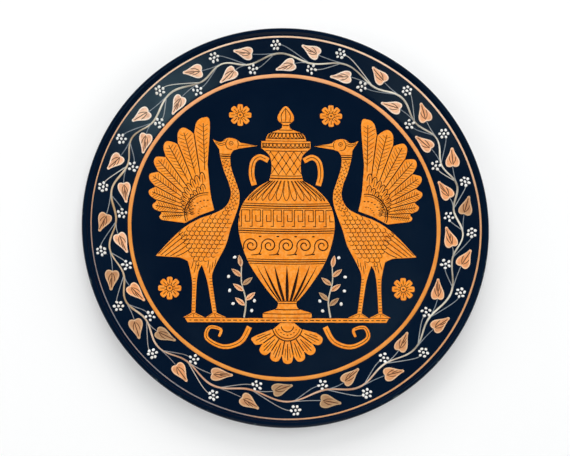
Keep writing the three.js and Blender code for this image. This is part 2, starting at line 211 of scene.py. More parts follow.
@dataclass
class PaintMesh:
    """Paint of one kind, gathered stroke by stroke and laid on the plate."""

    surface: PlateSurface
    sink: float = 0.06
    vertices: list[tuple[float, float, float]] = field(default_factory=list)
    faces: list[tuple[int, ...]] = field(default_factory=list)
    smooth: list[bool] = field(default_factory=list)
    tones: list[float] = field(default_factory=list)
    rims: list[float] = field(default_factory=list)

    def point(self, flat: Vector, lift: float, tone: float, rim: float = 0.0) -> int:
        """Adds a vertex at a height above the clay.

        Args:
            flat: Place on the plate.
            lift: Height above the clay.
            tone: Shade of this stroke, from 0 to 1.
            rim: How much of the outline's colour shows, from 0 to 1.

        Returns:
            The vertex number.
        """
        z = self.surface.height(flat) + lift
        self.vertices.append((flat.x * MM, flat.y * MM, z * MM))
        self.tones.append(tone)
        self.rims.append(rim)
        return len(self.vertices) - 1

    def face(self, corners: Sequence[int], smooth: bool = True) -> None:
        """Adds a face between vertices."""
        self.faces.append(tuple(corners))
        self.smooth.append(smooth)

    def wall(self, low: Sequence[int], high: Sequence[int]) -> None:
        """Joins two closed rows of vertices, corner by corner.

        Args:
            low: First row.
            high: Second row.
        """
        count = len(low)
        for j in range(count):
            k = (j + 1) % count
            self.face((low[j], low[k], high[k], high[j]))

    def tip(self, row: Sequence[int], top: int) -> None:
        """Closes a row of vertices over one vertex.

        Args:
            row: The row.
            top: The vertex.
        """
        for j, corner in enumerate(row):
            self.face((corner, row[(j + 1) % len(row)], top))

    def skin(self, rows: list[list[int]], closed: bool) -> None:
        """Joins rows of vertices, each a closed section, into a tube.

        Args:
            rows: Sections from one end to the other.
            closed: Whether the last section meets the first.
        """
        for near, far in zip(rows, rows[1:] + rows[:1] if closed else rows[1:]):
            self.wall(near, far)
        if not closed:
            self.face(rows[0][::-1])
            self.face(rows[-1])

    def stroke(
        self,
        path: Path,
        width: float | Sequence[float],
        height: float,
        tone: float | Sequence[float] = 0.5,
        base: float = 0.0,
        section: Section = Section.ROUND,
        closed: bool = False,
    ) -> None:
        """Lays a brush stroke with round ends.

        Args:
            path: Points along its middle.
            width: One width, or a width at each point.
            height: How thick the paint lies.
            tone: One shade, or a shade at each point.
            base: Height of what it is painted on, above the clay.
            section: Cross section.
            closed: Whether the stroke runs into its own start.
        """
        widths = list(width) if isinstance(width, Sequence) else [width] * len(path)
        tones = list(tone) if isinstance(tone, Sequence) else [tone] * len(path)
        path = [p.copy() for p in path]
        ways = headings(path, closed)
        if not closed:
            for at, sign in ((0, -1), (-1, 1)):
                end, way, wide, shade = path[at], ways[at], widths[at], tones[at]
                for turn in ROUND_END:
                    reach = math.sin(math.radians(turn)) * wide / 2
                    where = 0 if at == 0 else len(path)
                    path.insert(where, end + sign * way * reach)
                    widths.insert(where, wide * math.cos(math.radians(turn)))
                    ways.insert(where, way)
                    tones.insert(where, shade)
        rows = []
        for p, way, wide, shade in zip(path, ways, widths, tones):
            side = Vector((way.y, -way.x)) * wide / 2
            full = min(1.0, LEAST_HEIGHT + (1 - LEAST_HEIGHT) * wide / max(widths))
            row = []
            for across, up in section.value:
                lift = base - self.sink if up == 0 else base + height * up * full
                row.append(self.point(p + side * across, lift, shade))
            rows.append(row)
        self.skin(rows, closed)

    def dot(self, centre: Vector, radius: float, height: float, tone: float, seed: int) -> None:
        """Lays one dab of the brush tip, never quite round.

        Args:
            centre: Middle of the dab.
            radius: Its usual radius.
            height: Thickness at the middle.
            tone: Shade of the dab.
            seed: Number that its uneven outline follows.
        """
        rng = random.Random(seed)
        lean, pinch = rng.uniform(0, 360), rng.uniform(0.04, 0.16)
        shape = []
        for i in range(DOT_SIDES):
            turn = 360 * i / DOT_SIDES
            uneven = 1 + pinch * math.cos(2 * math.radians(turn - lean)) + rng.uniform(-0.03, 0.03)
            shape.append((turn, radius * uneven))
        rings = []
        for share, lift in ((1.0, -self.sink), (0.93, 0.45 * height), (0.72, 0.82 * height),
                            (0.38, 0.98 * height)):
            rings.append([self.point(centre + polar(r * share, turn), lift, tone) for turn, r in shape])
        top = self.point(centre, height, tone)
        self.face(rings[0][::-1])
        for low, high in zip(rings, rings[1:]):
            self.wall(low, high)
        self.tip(rings[-1], top)

    def patch(self, outline: Path, height: float, edge: float, tone: float = 0.5) -> None:
        """Lays a filled shape with a rounded edge.

        Args:
            outline: Closed outline of the flat top.
            height: Thickness of the paint.
            edge: How far the rounded edge runs out beyond the outline.
            tone: Shade of the shape.
        """
        ring = leftward(outline)
        ways = headings(ring, closed=True)
        out = [Vector((w.y, -w.x)) for w in ways]
        rows = []
        for reach, lift in ((1.0, -self.sink), (0.8, 0.6 * height), (0.4, 0.9 * height)):
            rows.append([self.point(p + n * edge * reach, lift, tone) for p, n in zip(ring, out)])
        rows.append([self.point(p, height, tone) for p in ring])
        for low, high in zip(rows, rows[1:]):
            self.wall(low, high)
        self.face(rows[-1], smooth=False)
        self.face(rows[0][::-1], smooth=False)

    def leaf(self, outline: Path, centre: Vector, height: float, rim: float, tone: float) -> None:
        """Lays a leaf with a thin filling and a fuller, paler outline.

        Args:
            outline: Closed outline, seen whole from the centre.
            centre: A point in the middle of the leaf.
            height: Thickness of the outline.
            rim: Width of the outline.
            tone: Shade of the filling.
        """
        ring = leftward(outline)
        steps = (
            (0.0, -self.sink, 1.0), (0.08, 0.62 * height, 1.0), (0.45, height, 1.0),
            (0.85, 0.9 * height, 0.9), (1.2, 0.66 * height, 0.1), (1.9, 0.58 * height, 0.0),
        )
        rows = []
        for depth, lift, pale in steps:
            row = []
            for p in ring:
                inward = centre - p
                share = min(depth * rim / max(inward.length, rim), 0.9)
                row.append(self.point(p + inward * share, lift, tone, pale))
            rows.append(row)
        rows.append([self.point(p + (centre - p) * 0.62, 0.62 * height, tone) for p in ring])
        for low, high in zip(rows, rows[1:]):
            self.wall(low, high)
        self.tip(rows[-1], self.point(centre, 0.64 * height, tone))
        self.face(rows[0][::-1], smooth=False)

    def build(self, name: str, material: bpy.types.Material, slot: Slot, *nodes: str) -> bpy.types.Object:
        """Makes the piece and puts it in the place of its solids.

        Args:
            name: Name of the piece.
            material: Its finish.
            slot: The record's finish that it stands for.
            *nodes: Solids that it replaces.

        Returns:
            The new object.
        """
        mesh = bpy.data.meshes.new(name)
        mesh.from_pydata(self.vertices, [], self.faces)
        mesh.polygons.foreach_set("use_smooth", self.smooth)
        for label, values in (("tone", self.tones), ("rim", self.rims)):
            mesh.attributes.new(label, "FLOAT", "POINT").data.foreach_set("value", values)
        mesh.update()
        return place(name, mesh, material, slot, *nodes)


def place(
    name: str, mesh: bpy.types.Mesh, material: bpy.types.Material, slot: Slot, *nodes: str
) -> bpy.types.Object:
    """Puts a finished mesh into the scene as a piece of the plate.

    Args:
        name: Name of the piece.
        mesh: Its mesh, in metres.
        material: Its first finish.
        slot: Not used; the record's finish that the piece stands for.
        *nodes: Solids that it replaces.

    Returns:
        The new object.
    """
    piece = bpy.data.objects.new(name, mesh)
    bpy.context.scene.collection.objects.link(piece)
    mesh.materials.append(material)
    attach(piece, "root")
    if nodes:
        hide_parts(*nodes)
    LOG.info("%s: %d faces, stands for %d solids", name, len(mesh.polygons), len(nodes))
    return piece


class Sheet:
    """A node material, built step by step."""

    def __init__(self, name: str) -> None:
        """Starts a material with one shader.

        Args:
            name: Name of the material.
        """
        self.material = bpy.data.materials.new(name)
        self.material.use_nodes = True
        self.tree = self.material.node_tree
        self.tree.nodes.clear()
        self.shader = self.tree.nodes.new("ShaderNodeBsdfPrincipled")
        self.output = self.tree.nodes.new("ShaderNodeOutputMaterial")
        self.tree.links.new(self.shader.outputs[0], self.output.inputs[0])
        self.place = self.node("ShaderNodeTexCoord").outputs["Object"]

    def node(self, kind: str, inputs: dict | None = None, **settings: object) -> bpy.types.Node:
        """Adds a node.

        Args:
            kind: Blender's name of the node type.
            inputs: Values or sockets for its inputs.
            **settings: Properties of the node.

        Returns:
            The node.
        """
        made = self.tree.nodes.new(kind)
        for key, value in settings.items():
            setattr(made, key, value)
        for key, value in (inputs or {}).items():
            if isinstance(value, bpy.types.NodeSocket):
                self.tree.links.new(value, made.inputs[key])
            else:
                made.inputs[key].default_value = value
        return made

    def noise(
        self, scale: float, detail: float = 3.0, stretch: tuple | None = None
    ) -> bpy.types.NodeSocket:
        """Gives a cloudy value.

        Args:
            scale: Clouds to the metre, about.
            detail: How finely they break up.
            stretch: Scale of the three directions, or None to leave them even.

        Returns:
            The value, from 0 to 1.
        """
        where = self.place
        if stretch:
            where = self.node("ShaderNodeMapping", {"Vector": where, "Scale": stretch}).outputs[0]
        made = self.node("ShaderNodeTexNoise", {"Vector": where, "Scale": scale, "Detail": detail})
        return made.outputs["Fac"]

    def specks(self, scale: float) -> bpy.types.NodeSocket:
        """Gives the distance to scattered grains."""
        made = self.node("ShaderNodeTexVoronoi", {"Vector": self.place, "Scale": scale})
        return made.outputs["Distance"]

    def math(self, kind: str, a: object, b: object = 0.0, clamp: bool = False) -> bpy.types.NodeSocket:
        """Gives the result of a sum on one or two values."""
        made = self.node("ShaderNodeMath", {0: a, 1: b}, operation=kind, use_clamp=clamp)
        return made.outputs[0]

    def span(
        self, value: object, low: float, high: float, to: tuple = (0.0, 1.0)
    ) -> bpy.types.NodeSocket:
        """Maps a value smoothly from one span to another.

        Args:
            value: Value or socket to map.
            low: Value that gives the first end.
            high: Value that gives the second end.
            to: The two ends.

        Returns:
            The mapped value.
        """
        made = self.node(
            "ShaderNodeMapRange",
            {"Value": value, "From Min": low, "From Max": high, "To Min": to[0], "To Max": to[1]},
            interpolation_type="SMOOTHSTEP",
        )
        return made.outputs[0]

    def blend(self, share: object, a: object, b: object) -> bpy.types.NodeSocket:
        """Mixes two colours.

        Args:
            share: Share of the second colour, a value or a socket.
            a: First colour.
            b: Second colour.

        Returns:
            The mixed colour.
        """
        made = self.node("ShaderNodeMix", {0: share, 6: a, 7: b}, data_type="RGBA")
        return made.outputs[2]

    def ramp(self, value: object, stops: Sequence[tuple[float, Colour]]) -> bpy.types.NodeSocket:
        """Turns a value into a colour.

        Args:
            value: Value or socket, from 0 to 1.
            stops: Places from 0 to 1 and the colour at each, in order.

        Returns:
            The colour.
        """
        made = self.node("ShaderNodeValToRGB", {"Fac": value})
        line = made.color_ramp.elements
        while len(line) < len(stops):
            line.new(0.5)
        for element, (at, colour) in zip(line, stops):
            element.position = at
            element.color = colour
        return made.outputs[0]

    def radius(self) -> bpy.types.NodeSocket:
        """Gives the distance from the plate's axis.

        Returns:
            The distance in metres.
        """
        split = self.node("ShaderNodeSeparateXYZ", {0: self.place})
        squares = [self.math("MULTIPLY", split.outputs[i], split.outputs[i]) for i in (0, 1)]
        return self.math("SQRT", self.math("ADD", *squares))

    def along(self, degrees: float) -> bpy.types.NodeSocket:
        """Gives how far a point lies towards a direction.

        Args:
            degrees: The direction, seen from above.

        Returns:
            The distance in metres, below zero on the far side.
        """
        way = polar(1.0, degrees)
        made = self.node(
            "ShaderNodeVectorMath", {0: self.place, 1: (way.x, way.y, 0.0)}, operation="DOT_PRODUCT"
        )
        return made.outputs["Value"]

    def value(self, label: str) -> bpy.types.NodeSocket:
        """Gives a value kept on the mesh."""
        return self.node("ShaderNodeAttribute", attribute_name=label).outputs["Fac"]

    def bump(self, height: bpy.types.NodeSocket, strength: float, depth: float) -> None:
        """Roughens the surface by a height, of a depth in metres."""
        made = self.node("ShaderNodeBump", {"Height": height, "Strength": strength, "Distance": depth})
        self.tree.links.new(made.outputs[0], self.shader.inputs["Normal"])

    def glow(self, share: float) -> None:
        """Lets plain white show where the surface is seen, straight or in a reflection.

        Args:
            share: Share of the white.
        """
        seen = self.node("ShaderNodeLightPath")
        rays = [seen.outputs[f"Is {kind} Ray"] for kind in ("Camera", "Glossy", "Transmission")]
        fac = self.math("MAXIMUM", self.math("MAXIMUM", rays[0], rays[1]), rays[2])
        white = self.node("ShaderNodeEmission", {"Color": (1.0, 1.0, 1.0, 1.0), "Strength": 1.0})
        mix = self.node("ShaderNodeMixShader", {
            0: self.math("MULTIPLY", fac, share), 1: self.shader.outputs[0], 2: white.outputs[0],
        })
        self.tree.links.new(mix.outputs[0], self.output.inputs[0])

    def finish(
        self, colour: bpy.types.NodeSocket, roughness: bpy.types.NodeSocket, shine: float | None = None
    ) -> bpy.types.Material:
        """Connects the last values.

        Args:
            colour: Colour of the surface.
            roughness: Its roughness.
            shine: Strength of its reflections, or None for the usual one.

        Returns:
            The material.
        """
        self.tree.links.new(colour, self.shader.inputs["Base Color"])
        self.tree.links.new(roughness, self.shader.inputs["Roughness"])
        if shine is not None:
            self.shader.inputs["Specular IOR Level"].default_value = shine
        return self.material


@dataclass(frozen=True)
class GlazeFinish:
    """Blue-black glaze with turning marks, pinholes and a worn edge."""

    deep: str = "021125"
    open: str = "041529"
    worn: str = "4f5f60"
    dust: str = "26394a"
    wear_from: float = 118.6
    wear_to: float = 119.9
    ring_pitch: float = 1.3
    grain_depth: float = 0.03
    shine: float = 0.24

    def material(self) -> bpy.types.Material:
        """Builds the glaze.

        Returns:
            The material.
        """
        s = Sheet("dark glaze")
        cloud = s.noise(22.0, 4.0)
        colour = s.ramp(s.span(cloud, 0.3, 0.7), ((0.0, paint(self.deep)), (1.0, paint(self.open))))
        radius = s.radius()
        turns = s.math("SINE", s.math("MULTIPLY", radius, 2 * math.pi / (self.ring_pitch * MM)))
        chips = s.span(s.noise(160.0, 5.0), 0.60, 0.70)
        edge = s.span(radius, self.wear_from * MM, self.wear_to * MM)
        worn = s.math("MULTIPLY", chips, edge)
        colour = s.blend(s.math("MULTIPLY", worn, 0.8), colour, paint(self.worn))
        dust = s.span(s.specks(420.0), 0.10, 0.04)
        dust = s.math("MULTIPLY", dust, s.span(s.noise(60.0), 0.55, 0.7))
        colour = s.blend(s.math("MULTIPLY", dust, 0.25), colour, paint(self.dust))
        rough = s.span(s.noise(45.0, 5.0), 0.25, 0.8, (0.13, 0.2))
        rough = s.math("ADD", rough, s.math("MULTIPLY", worn, 0.3), clamp=True)
        grain = s.math("ADD", s.noise(900.0, 4.0), s.math("MULTIPLY", turns, 0.25))
        grain = s.math("ADD", grain, s.math("MULTIPLY", worn, -1.2))
        grain = s.math("ADD", grain, s.math("MULTIPLY", s.noise(70.0, 2.0), 1.2))
        s.bump(grain, 0.25, self.grain_depth * MM)
        return s.finish(colour, rough, self.shine)


@dataclass(frozen=True)
class ClayFinish:
    """Bare fired clay with grit, turning marks and thin smears of glaze."""

    pale: str = "b8714a"
    dark: str = "8c4a2c"
    grit: str = "e0b795"
    smear: str = "2b2324"
    ring_pitch: float = 1.9
    grain_depth: float = 0.12

    def material(self) -> bpy.types.Material:
        """Builds the clay.

        Returns:
            The material.
        """
        s = Sheet("bare clay")
        colour = s.ramp(s.noise(60.0, 6.0), ((0.3, paint(self.dark)), (0.7, paint(self.pale))))
        grit = s.span(s.specks(900.0), 0.25, 0.12)
        colour = s.blend(s.math("MULTIPLY", grit, 0.35), colour, paint(self.grit))
        smear = s.span(s.noise(35.0, 5.0), 0.58, 0.66)
        colour = s.blend(s.math("MULTIPLY", smear, 0.55), colour, paint(self.smear))
        turns = s.math("SINE", s.math("MULTIPLY", s.radius(), 2 * math.pi / (self.ring_pitch * MM)))
        rough = s.span(s.noise(300.0), 0.2, 0.8, (0.72, 0.95))
        height = s.math("ADD", s.noise(1100.0, 5.0), s.math("MULTIPLY", turns, 0.5))
        s.bump(height, 0.5, self.grain_depth * MM)
        return s.finish(colour, rough)


@dataclass(frozen=True)
class Wash:
    """A tint that comes in towards one side of the plate.

    The tint starts at the distance low towards that direction and is fullest at high.
    """

    tint: str
    towards: float
    low: float
    high: float
    most: float


@dataclass(frozen=True)
class SlipFinish:
    """Painted slip that varies with the load of the brush and from one side to the other."""

    name: str
    base: str
    thin: str
    pale: str
    washes: tuple[Wash, ...] = ()
    paling: float = 0.34
    roughness: float = 0.5
    mottling: float = 0.15
    grain_depth: float = 0.06
    shine: float = 0.2

    def material(self) -> bpy.types.Material:
        """Builds the slip.

        Returns:
            The material.
        """
        s = Sheet(self.name)
        load = s.span(s.noise(120.0, 5.0), 0.3, 0.72)
        colour = s.blend(load, paint(self.thin), paint(self.base))
        tone = s.span(s.value("tone"), 0.0, 1.0, (0.0, self.paling))
        colour = s.blend(tone, colour, paint(self.pale))
        mottle = s.span(s.noise(650.0, 2.0), 0.42, 0.64, (0.0, self.mottling))
        colour = s.blend(mottle, colour, paint(self.pale))
        uneven = s.span(s.noise(90.0, 3.0), 0.2, 0.7, (0.6, 1.0))
        for wash in self.washes:
            side = s.span(s.along(wash.towards), wash.low * MM, wash.high * MM, (0.0, wash.most))
            colour = s.blend(s.math("MULTIPLY", side, uneven), colour, paint(wash.tint))
        fleck = s.span(s.specks(700.0), 0.16, 0.07)
        colour = s.blend(s.math("MULTIPLY", fleck, 0.22), colour, paint(self.thin))
        rough = s.span(s.noise(200.0), 0.2, 0.8, (self.roughness - 0.08, self.roughness + 0.12))
        brushed = s.math("ADD", s.noise(420.0, 4.0), s.noise(160.0, 2.0, (1.0, 7.0, 1.0)))
        s.bump(brushed, 0.4, self.grain_depth * MM)
        return s.finish(colour, rough, self.shine)


@dataclass(frozen=True)
class LeafFinish:
    """Slip of the leaves: each leaf has its own tone, and its outline is fuller and paler."""

    name: str
    tones: tuple[str, str, str, str, str] = ("a88561", "d0986a", "f4a66e", "f8bd92", "fddcc0")
    rims: tuple[str, str, str] = ("c0a07a", "ffcfa6", "fff5ea")
    shade: str = "9c5a38"
    grain_depth: float = 0.07
    shine: float = 0.25

    def material(self) -> bpy.types.Material:
        """Builds the leaf paint.

        Returns:
            The material.
        """
        s = Sheet(self.name)
        tone = s.value("tone")
        fill = s.ramp(tone, [(i / 4, paint(code)) for i, code in enumerate(self.tones)])
        streak = s.span(s.noise(380.0, 4.0), 0.42, 0.68)
        fill = s.blend(s.math("MULTIPLY", streak, 0.34), fill, paint(self.shade))
        outline = s.ramp(tone, [(i / 2, paint(code)) for i, code in enumerate(self.rims)])
        colour = s.blend(s.value("rim"), fill, outline)
        rough = s.span(s.noise(240.0), 0.2, 0.8, (0.36, 0.55))
        s.bump(s.noise(520.0, 4.0), 0.4, self.grain_depth * MM)
        return s.finish(colour, rough, self.shine)


@dataclass
class ClayPlate:
    """The thrown plate: flat middle, sloping border, rolled lip and turned underside."""

    surface: PlateSurface
    foot_height: float = 6.0
    foot_outer: float = 74.5
    foot_inner: float = 67.0
    foot_gap: float = 2.0
    lip_width: float = 3.6
    lip_rise: float = 1.3
    lip_turn: tuple[int, int, int] = (-52, 151, 7)
    border_steps: int = 14
    sides: int = 288

    def profile(self) -> list[tuple[float, float]]:
        """Gives the turned outline from the underside's middle round to the upper middle.

        Returns:
            Radius and height of each point.
        """
        face = self.surface
        border = face.tondo_radius + face.border_width
        rim = border + self.lip_width
        top = face.tondo_top + face.border_rise
        slope = face.border_rise / face.border_width
        nose = self.lip_width / 2
        centre = (rim - nose, top + self.lip_rise - nose)
        under = [(0.0, self.foot_height), (20.0, self.foot_height), (45.0, self.foot_height)]
        under.append((self.foot_inner - self.foot_gap, self.foot_height))
        under.append((self.foot_outer + self.foot_gap, self.foot_height))
        knee = [(82.0, 6.0), (90.5, 6.4), (97.5, 7.23), (106.0, 8.9), (115.4, 10.7), (116.9, 11.6)]
        lip = [
            (centre[0] + nose * math.cos(math.radians(a)), centre[1] + nose * math.sin(math.radians(a)))
            for a in range(*self.lip_turn)
        ]
        inner = [(border - 0.15, top - 0.02)]
        for i in range(1, self.border_steps):
            r = border - 0.4 - (face.border_width - 1.4) * i / self.border_steps
            inner.append((r, face.tondo_top + slope * (r - face.tondo_radius)))
        start = face.tondo_radius
        inner += [(start + 0.8, face.tondo_top + 0.16), (start, face.tondo_top + 0.03)]
        inner += [(start - 0.6, face.tondo_top)]
        flat = [(float(r), face.tondo_top) for r in (84, 70, 50, 30, 12, 0)]
        return under + knee + lip + inner + flat

    def build(self, glaze: bpy.types.Material, clay: bpy.types.Material) -> bpy.types.Object:
        """Turns the plate.

        Args:
            glaze: Finish of the whole plate.
            clay: Finish of the bare floor inside the foot ring.

        Returns:
            The plate.
        """
        mesh = turned("thrown_plate", self.profile(), self.sides)
        mesh.materials.append(glaze)
        piece = place("thrown_plate", mesh, clay, Slot.GLAZE, "plate_body")
        for face in mesh.polygons:
            middle = face.center
            bare = middle.z < (self.foot_height + 0.2) * MM
            face.material_index = int(bare and middle.xy.length < self.foot_outer * MM)
        return piece


def turned(name: str, profile: Sequence[tuple[float, float]], sides: int) -> bpy.types.Mesh:
    """Turns a profile round the plate's axis.

    Args:
        name: Name of the mesh.
        profile: Radius and height of each point; a closed body starts and ends on the axis, or
            where it began.
        sides: How many steps make the turn.

    Returns:
        The smooth mesh, in metres.
    """
    solid = bmesh.new()
    loop = profile[0] == profile[-1] and profile[0][0] > 0
    points = profile[:-1] if loop else profile
    rings = []
    for radius, height in points:
        if radius == 0:
            rings.append([solid.verts.new((0.0, 0.0, height * MM))])
            continue
        spots = [polar(radius * MM, 360 * i / sides) for i in range(sides)]
        rings.append([solid.verts.new((p.x, p.y, height * MM)) for p in spots])
    pairs = list(zip(rings, rings[1:]))
    if loop:
        pairs.append((rings[-1], rings[0]))
    for low, high in pairs:
        for i in range(sides):
            k = (i + 1) % sides
            corners = [low[i % len(low)], low[k % len(low)], high[k % len(high)], high[i % len(high)]]
            solid.faces.new(list(dict.fromkeys(corners)))
    bmesh.ops.recalc_face_normals(solid, faces=solid.faces)
    for face in solid.faces:
        face.smooth = True
    mesh = bpy.data.meshes.new(name)
    solid.to_mesh(mesh)
    solid.free()
    return mesh


@dataclass
class FootRing:
    """Luted foot ring with rounded edges and two holes for a hanging cord."""

    outer: float = 74.5
    inner: float = 67.0
    height: float = 6.0
    taper: float = 1.1
    edge: float = 0.8
    flare: float = 0.25
    flare_height: float = 1.5
    corner_step: int = 15
    hole_radius: float = 1.5
    hole_spacing: float = 14.0
    drill_length: float = 24.0
    drill_sides: int = 32
    sides: int = 216

    def profile(self) -> list[tuple[float, float]]:
        """Gives the closed section of the ring.

        Returns:
            Radius and height of each point.
        """
        low_in, low_out = self.inner + self.taper, self.outer - self.taper
        points = [(self.inner, self.height), (low_in - self.flare, self.flare_height)]
        for middle, first in ((low_in + self.edge, 180), (low_out - self.edge, 270)):
            for a in range(first, first + 91, self.corner_step):
                turn = math.radians(a)
                points.append((middle + self.edge * math.cos(turn), self.edge * (1 + math.sin(turn))))
        points.append((low_out + self.flare, self.flare_height))
        return points + [(self.outer, self.height), (self.inner, self.height)]

    def build(self, clay: bpy.types.Material) -> bpy.types.Object:
        """Turns the ring and drills its holes.

        Args:
            clay: Finish of the ring.

        Returns:
            The ring.
        """
        piece = place("standing_ring", turned("standing_ring", self.profile(), self.sides),
                      clay, Slot.CLAY, "foot_ring")
        drills = []
        for side in (-1, 1):
            drill = bmesh.new()
            bmesh.ops.create_cone(
                drill, cap_ends=True, segments=self.drill_sides, radius1=self.hole_radius * MM,
                radius2=self.hole_radius * MM, depth=self.drill_length * MM,
            )
            bmesh.ops.rotate(
                drill, verts=drill.verts, matrix=Quaternion((1, 0, 0), math.pi / 2).to_matrix()
            )
            middle = Vector((side * self.hole_spacing / 2, (self.outer + self.inner) / 2, self.height / 2))
            bmesh.ops.translate(drill, verts=drill.verts, vec=middle * MM)
            mesh = bpy.data.meshes.new("drill")
            drill.to_mesh(mesh)
            drill.free()
            cutter = bpy.data.objects.new("drill", mesh)
            bpy.context.scene.collection.objects.link(cutter)
            drills.append(cutter)
            cut = piece.modifiers.new("hole", "BOOLEAN")
            cut.object = cutter
            cut.solver = "EXACT"
        graph = bpy.context.evaluated_depsgraph_get()
        drilled = bpy.data.meshes.new_from_object(piece.evaluated_get(graph))
        piece.modifiers.clear()
        piece.data = drilled
        for cutter in drills:
            bpy.data.objects.remove(cutter)
        return piece


@dataclass
class PaintedBand:
    """A ring drawn with a loaded brush while the plate turns."""

    name: str
    node: str
    slot: Slot
    radius: float
    width: float
    thinning: float
    thin_at: float
    wobble: float
    height: float = 0.3
    shift: tuple[float, float] = (0.0, 0.0)
    steps: int = 540

    def build(self, surface: PlateSurface, material: bpy.types.Material) -> bpy.types.Object:
        """Draws the band.

        Args:
            surface: What it is painted on.
            material: Its slip.

        Returns:
            The band.
        """
        band = PaintMesh(surface)
        path, widths = [], []
        for i in range(self.steps):
            a = 360 * i / self.steps
            turn = math.radians(a)
            sway = math.sin(3 * turn + 1.1) + 0.6 * math.sin(7 * turn + 0.4) + 0.4 * math.sin(17 * turn)
            path.append(polar(self.radius + self.wobble * sway, a) + Vector(self.shift))
            thin = self.thinning * (0.5 + 0.5 * math.cos(math.radians(a - self.thin_at))) ** 2
            uneven = 1 + 0.035 * math.sin(11 * turn) + 0.03 * math.sin(23 * turn + 2)
            widths.append(self.width * (1 - thin) * uneven)
        band.stroke(path, widths, self.height, closed=True)
        return band.build(self.name, material, self.slot, self.node)


@dataclass(frozen=True)
class LeafKind:
    """Size and place of one row of ivy leaves, and of the stalks that carry them."""

    angles: tuple[float, ...]
    length: float
    half_width: float
    offset: float
    tilt: float
    stalk_from: float
    bulge: float
    browned: tuple[int, ...]


@dataclass(frozen=True)
class BerryKind:
    """Size and place of one row of berry clusters, and of the stalks that carry them."""

    angles: tuple[float, ...]
    count: int
    offset: float
    stalk_from: float
    bulge: float


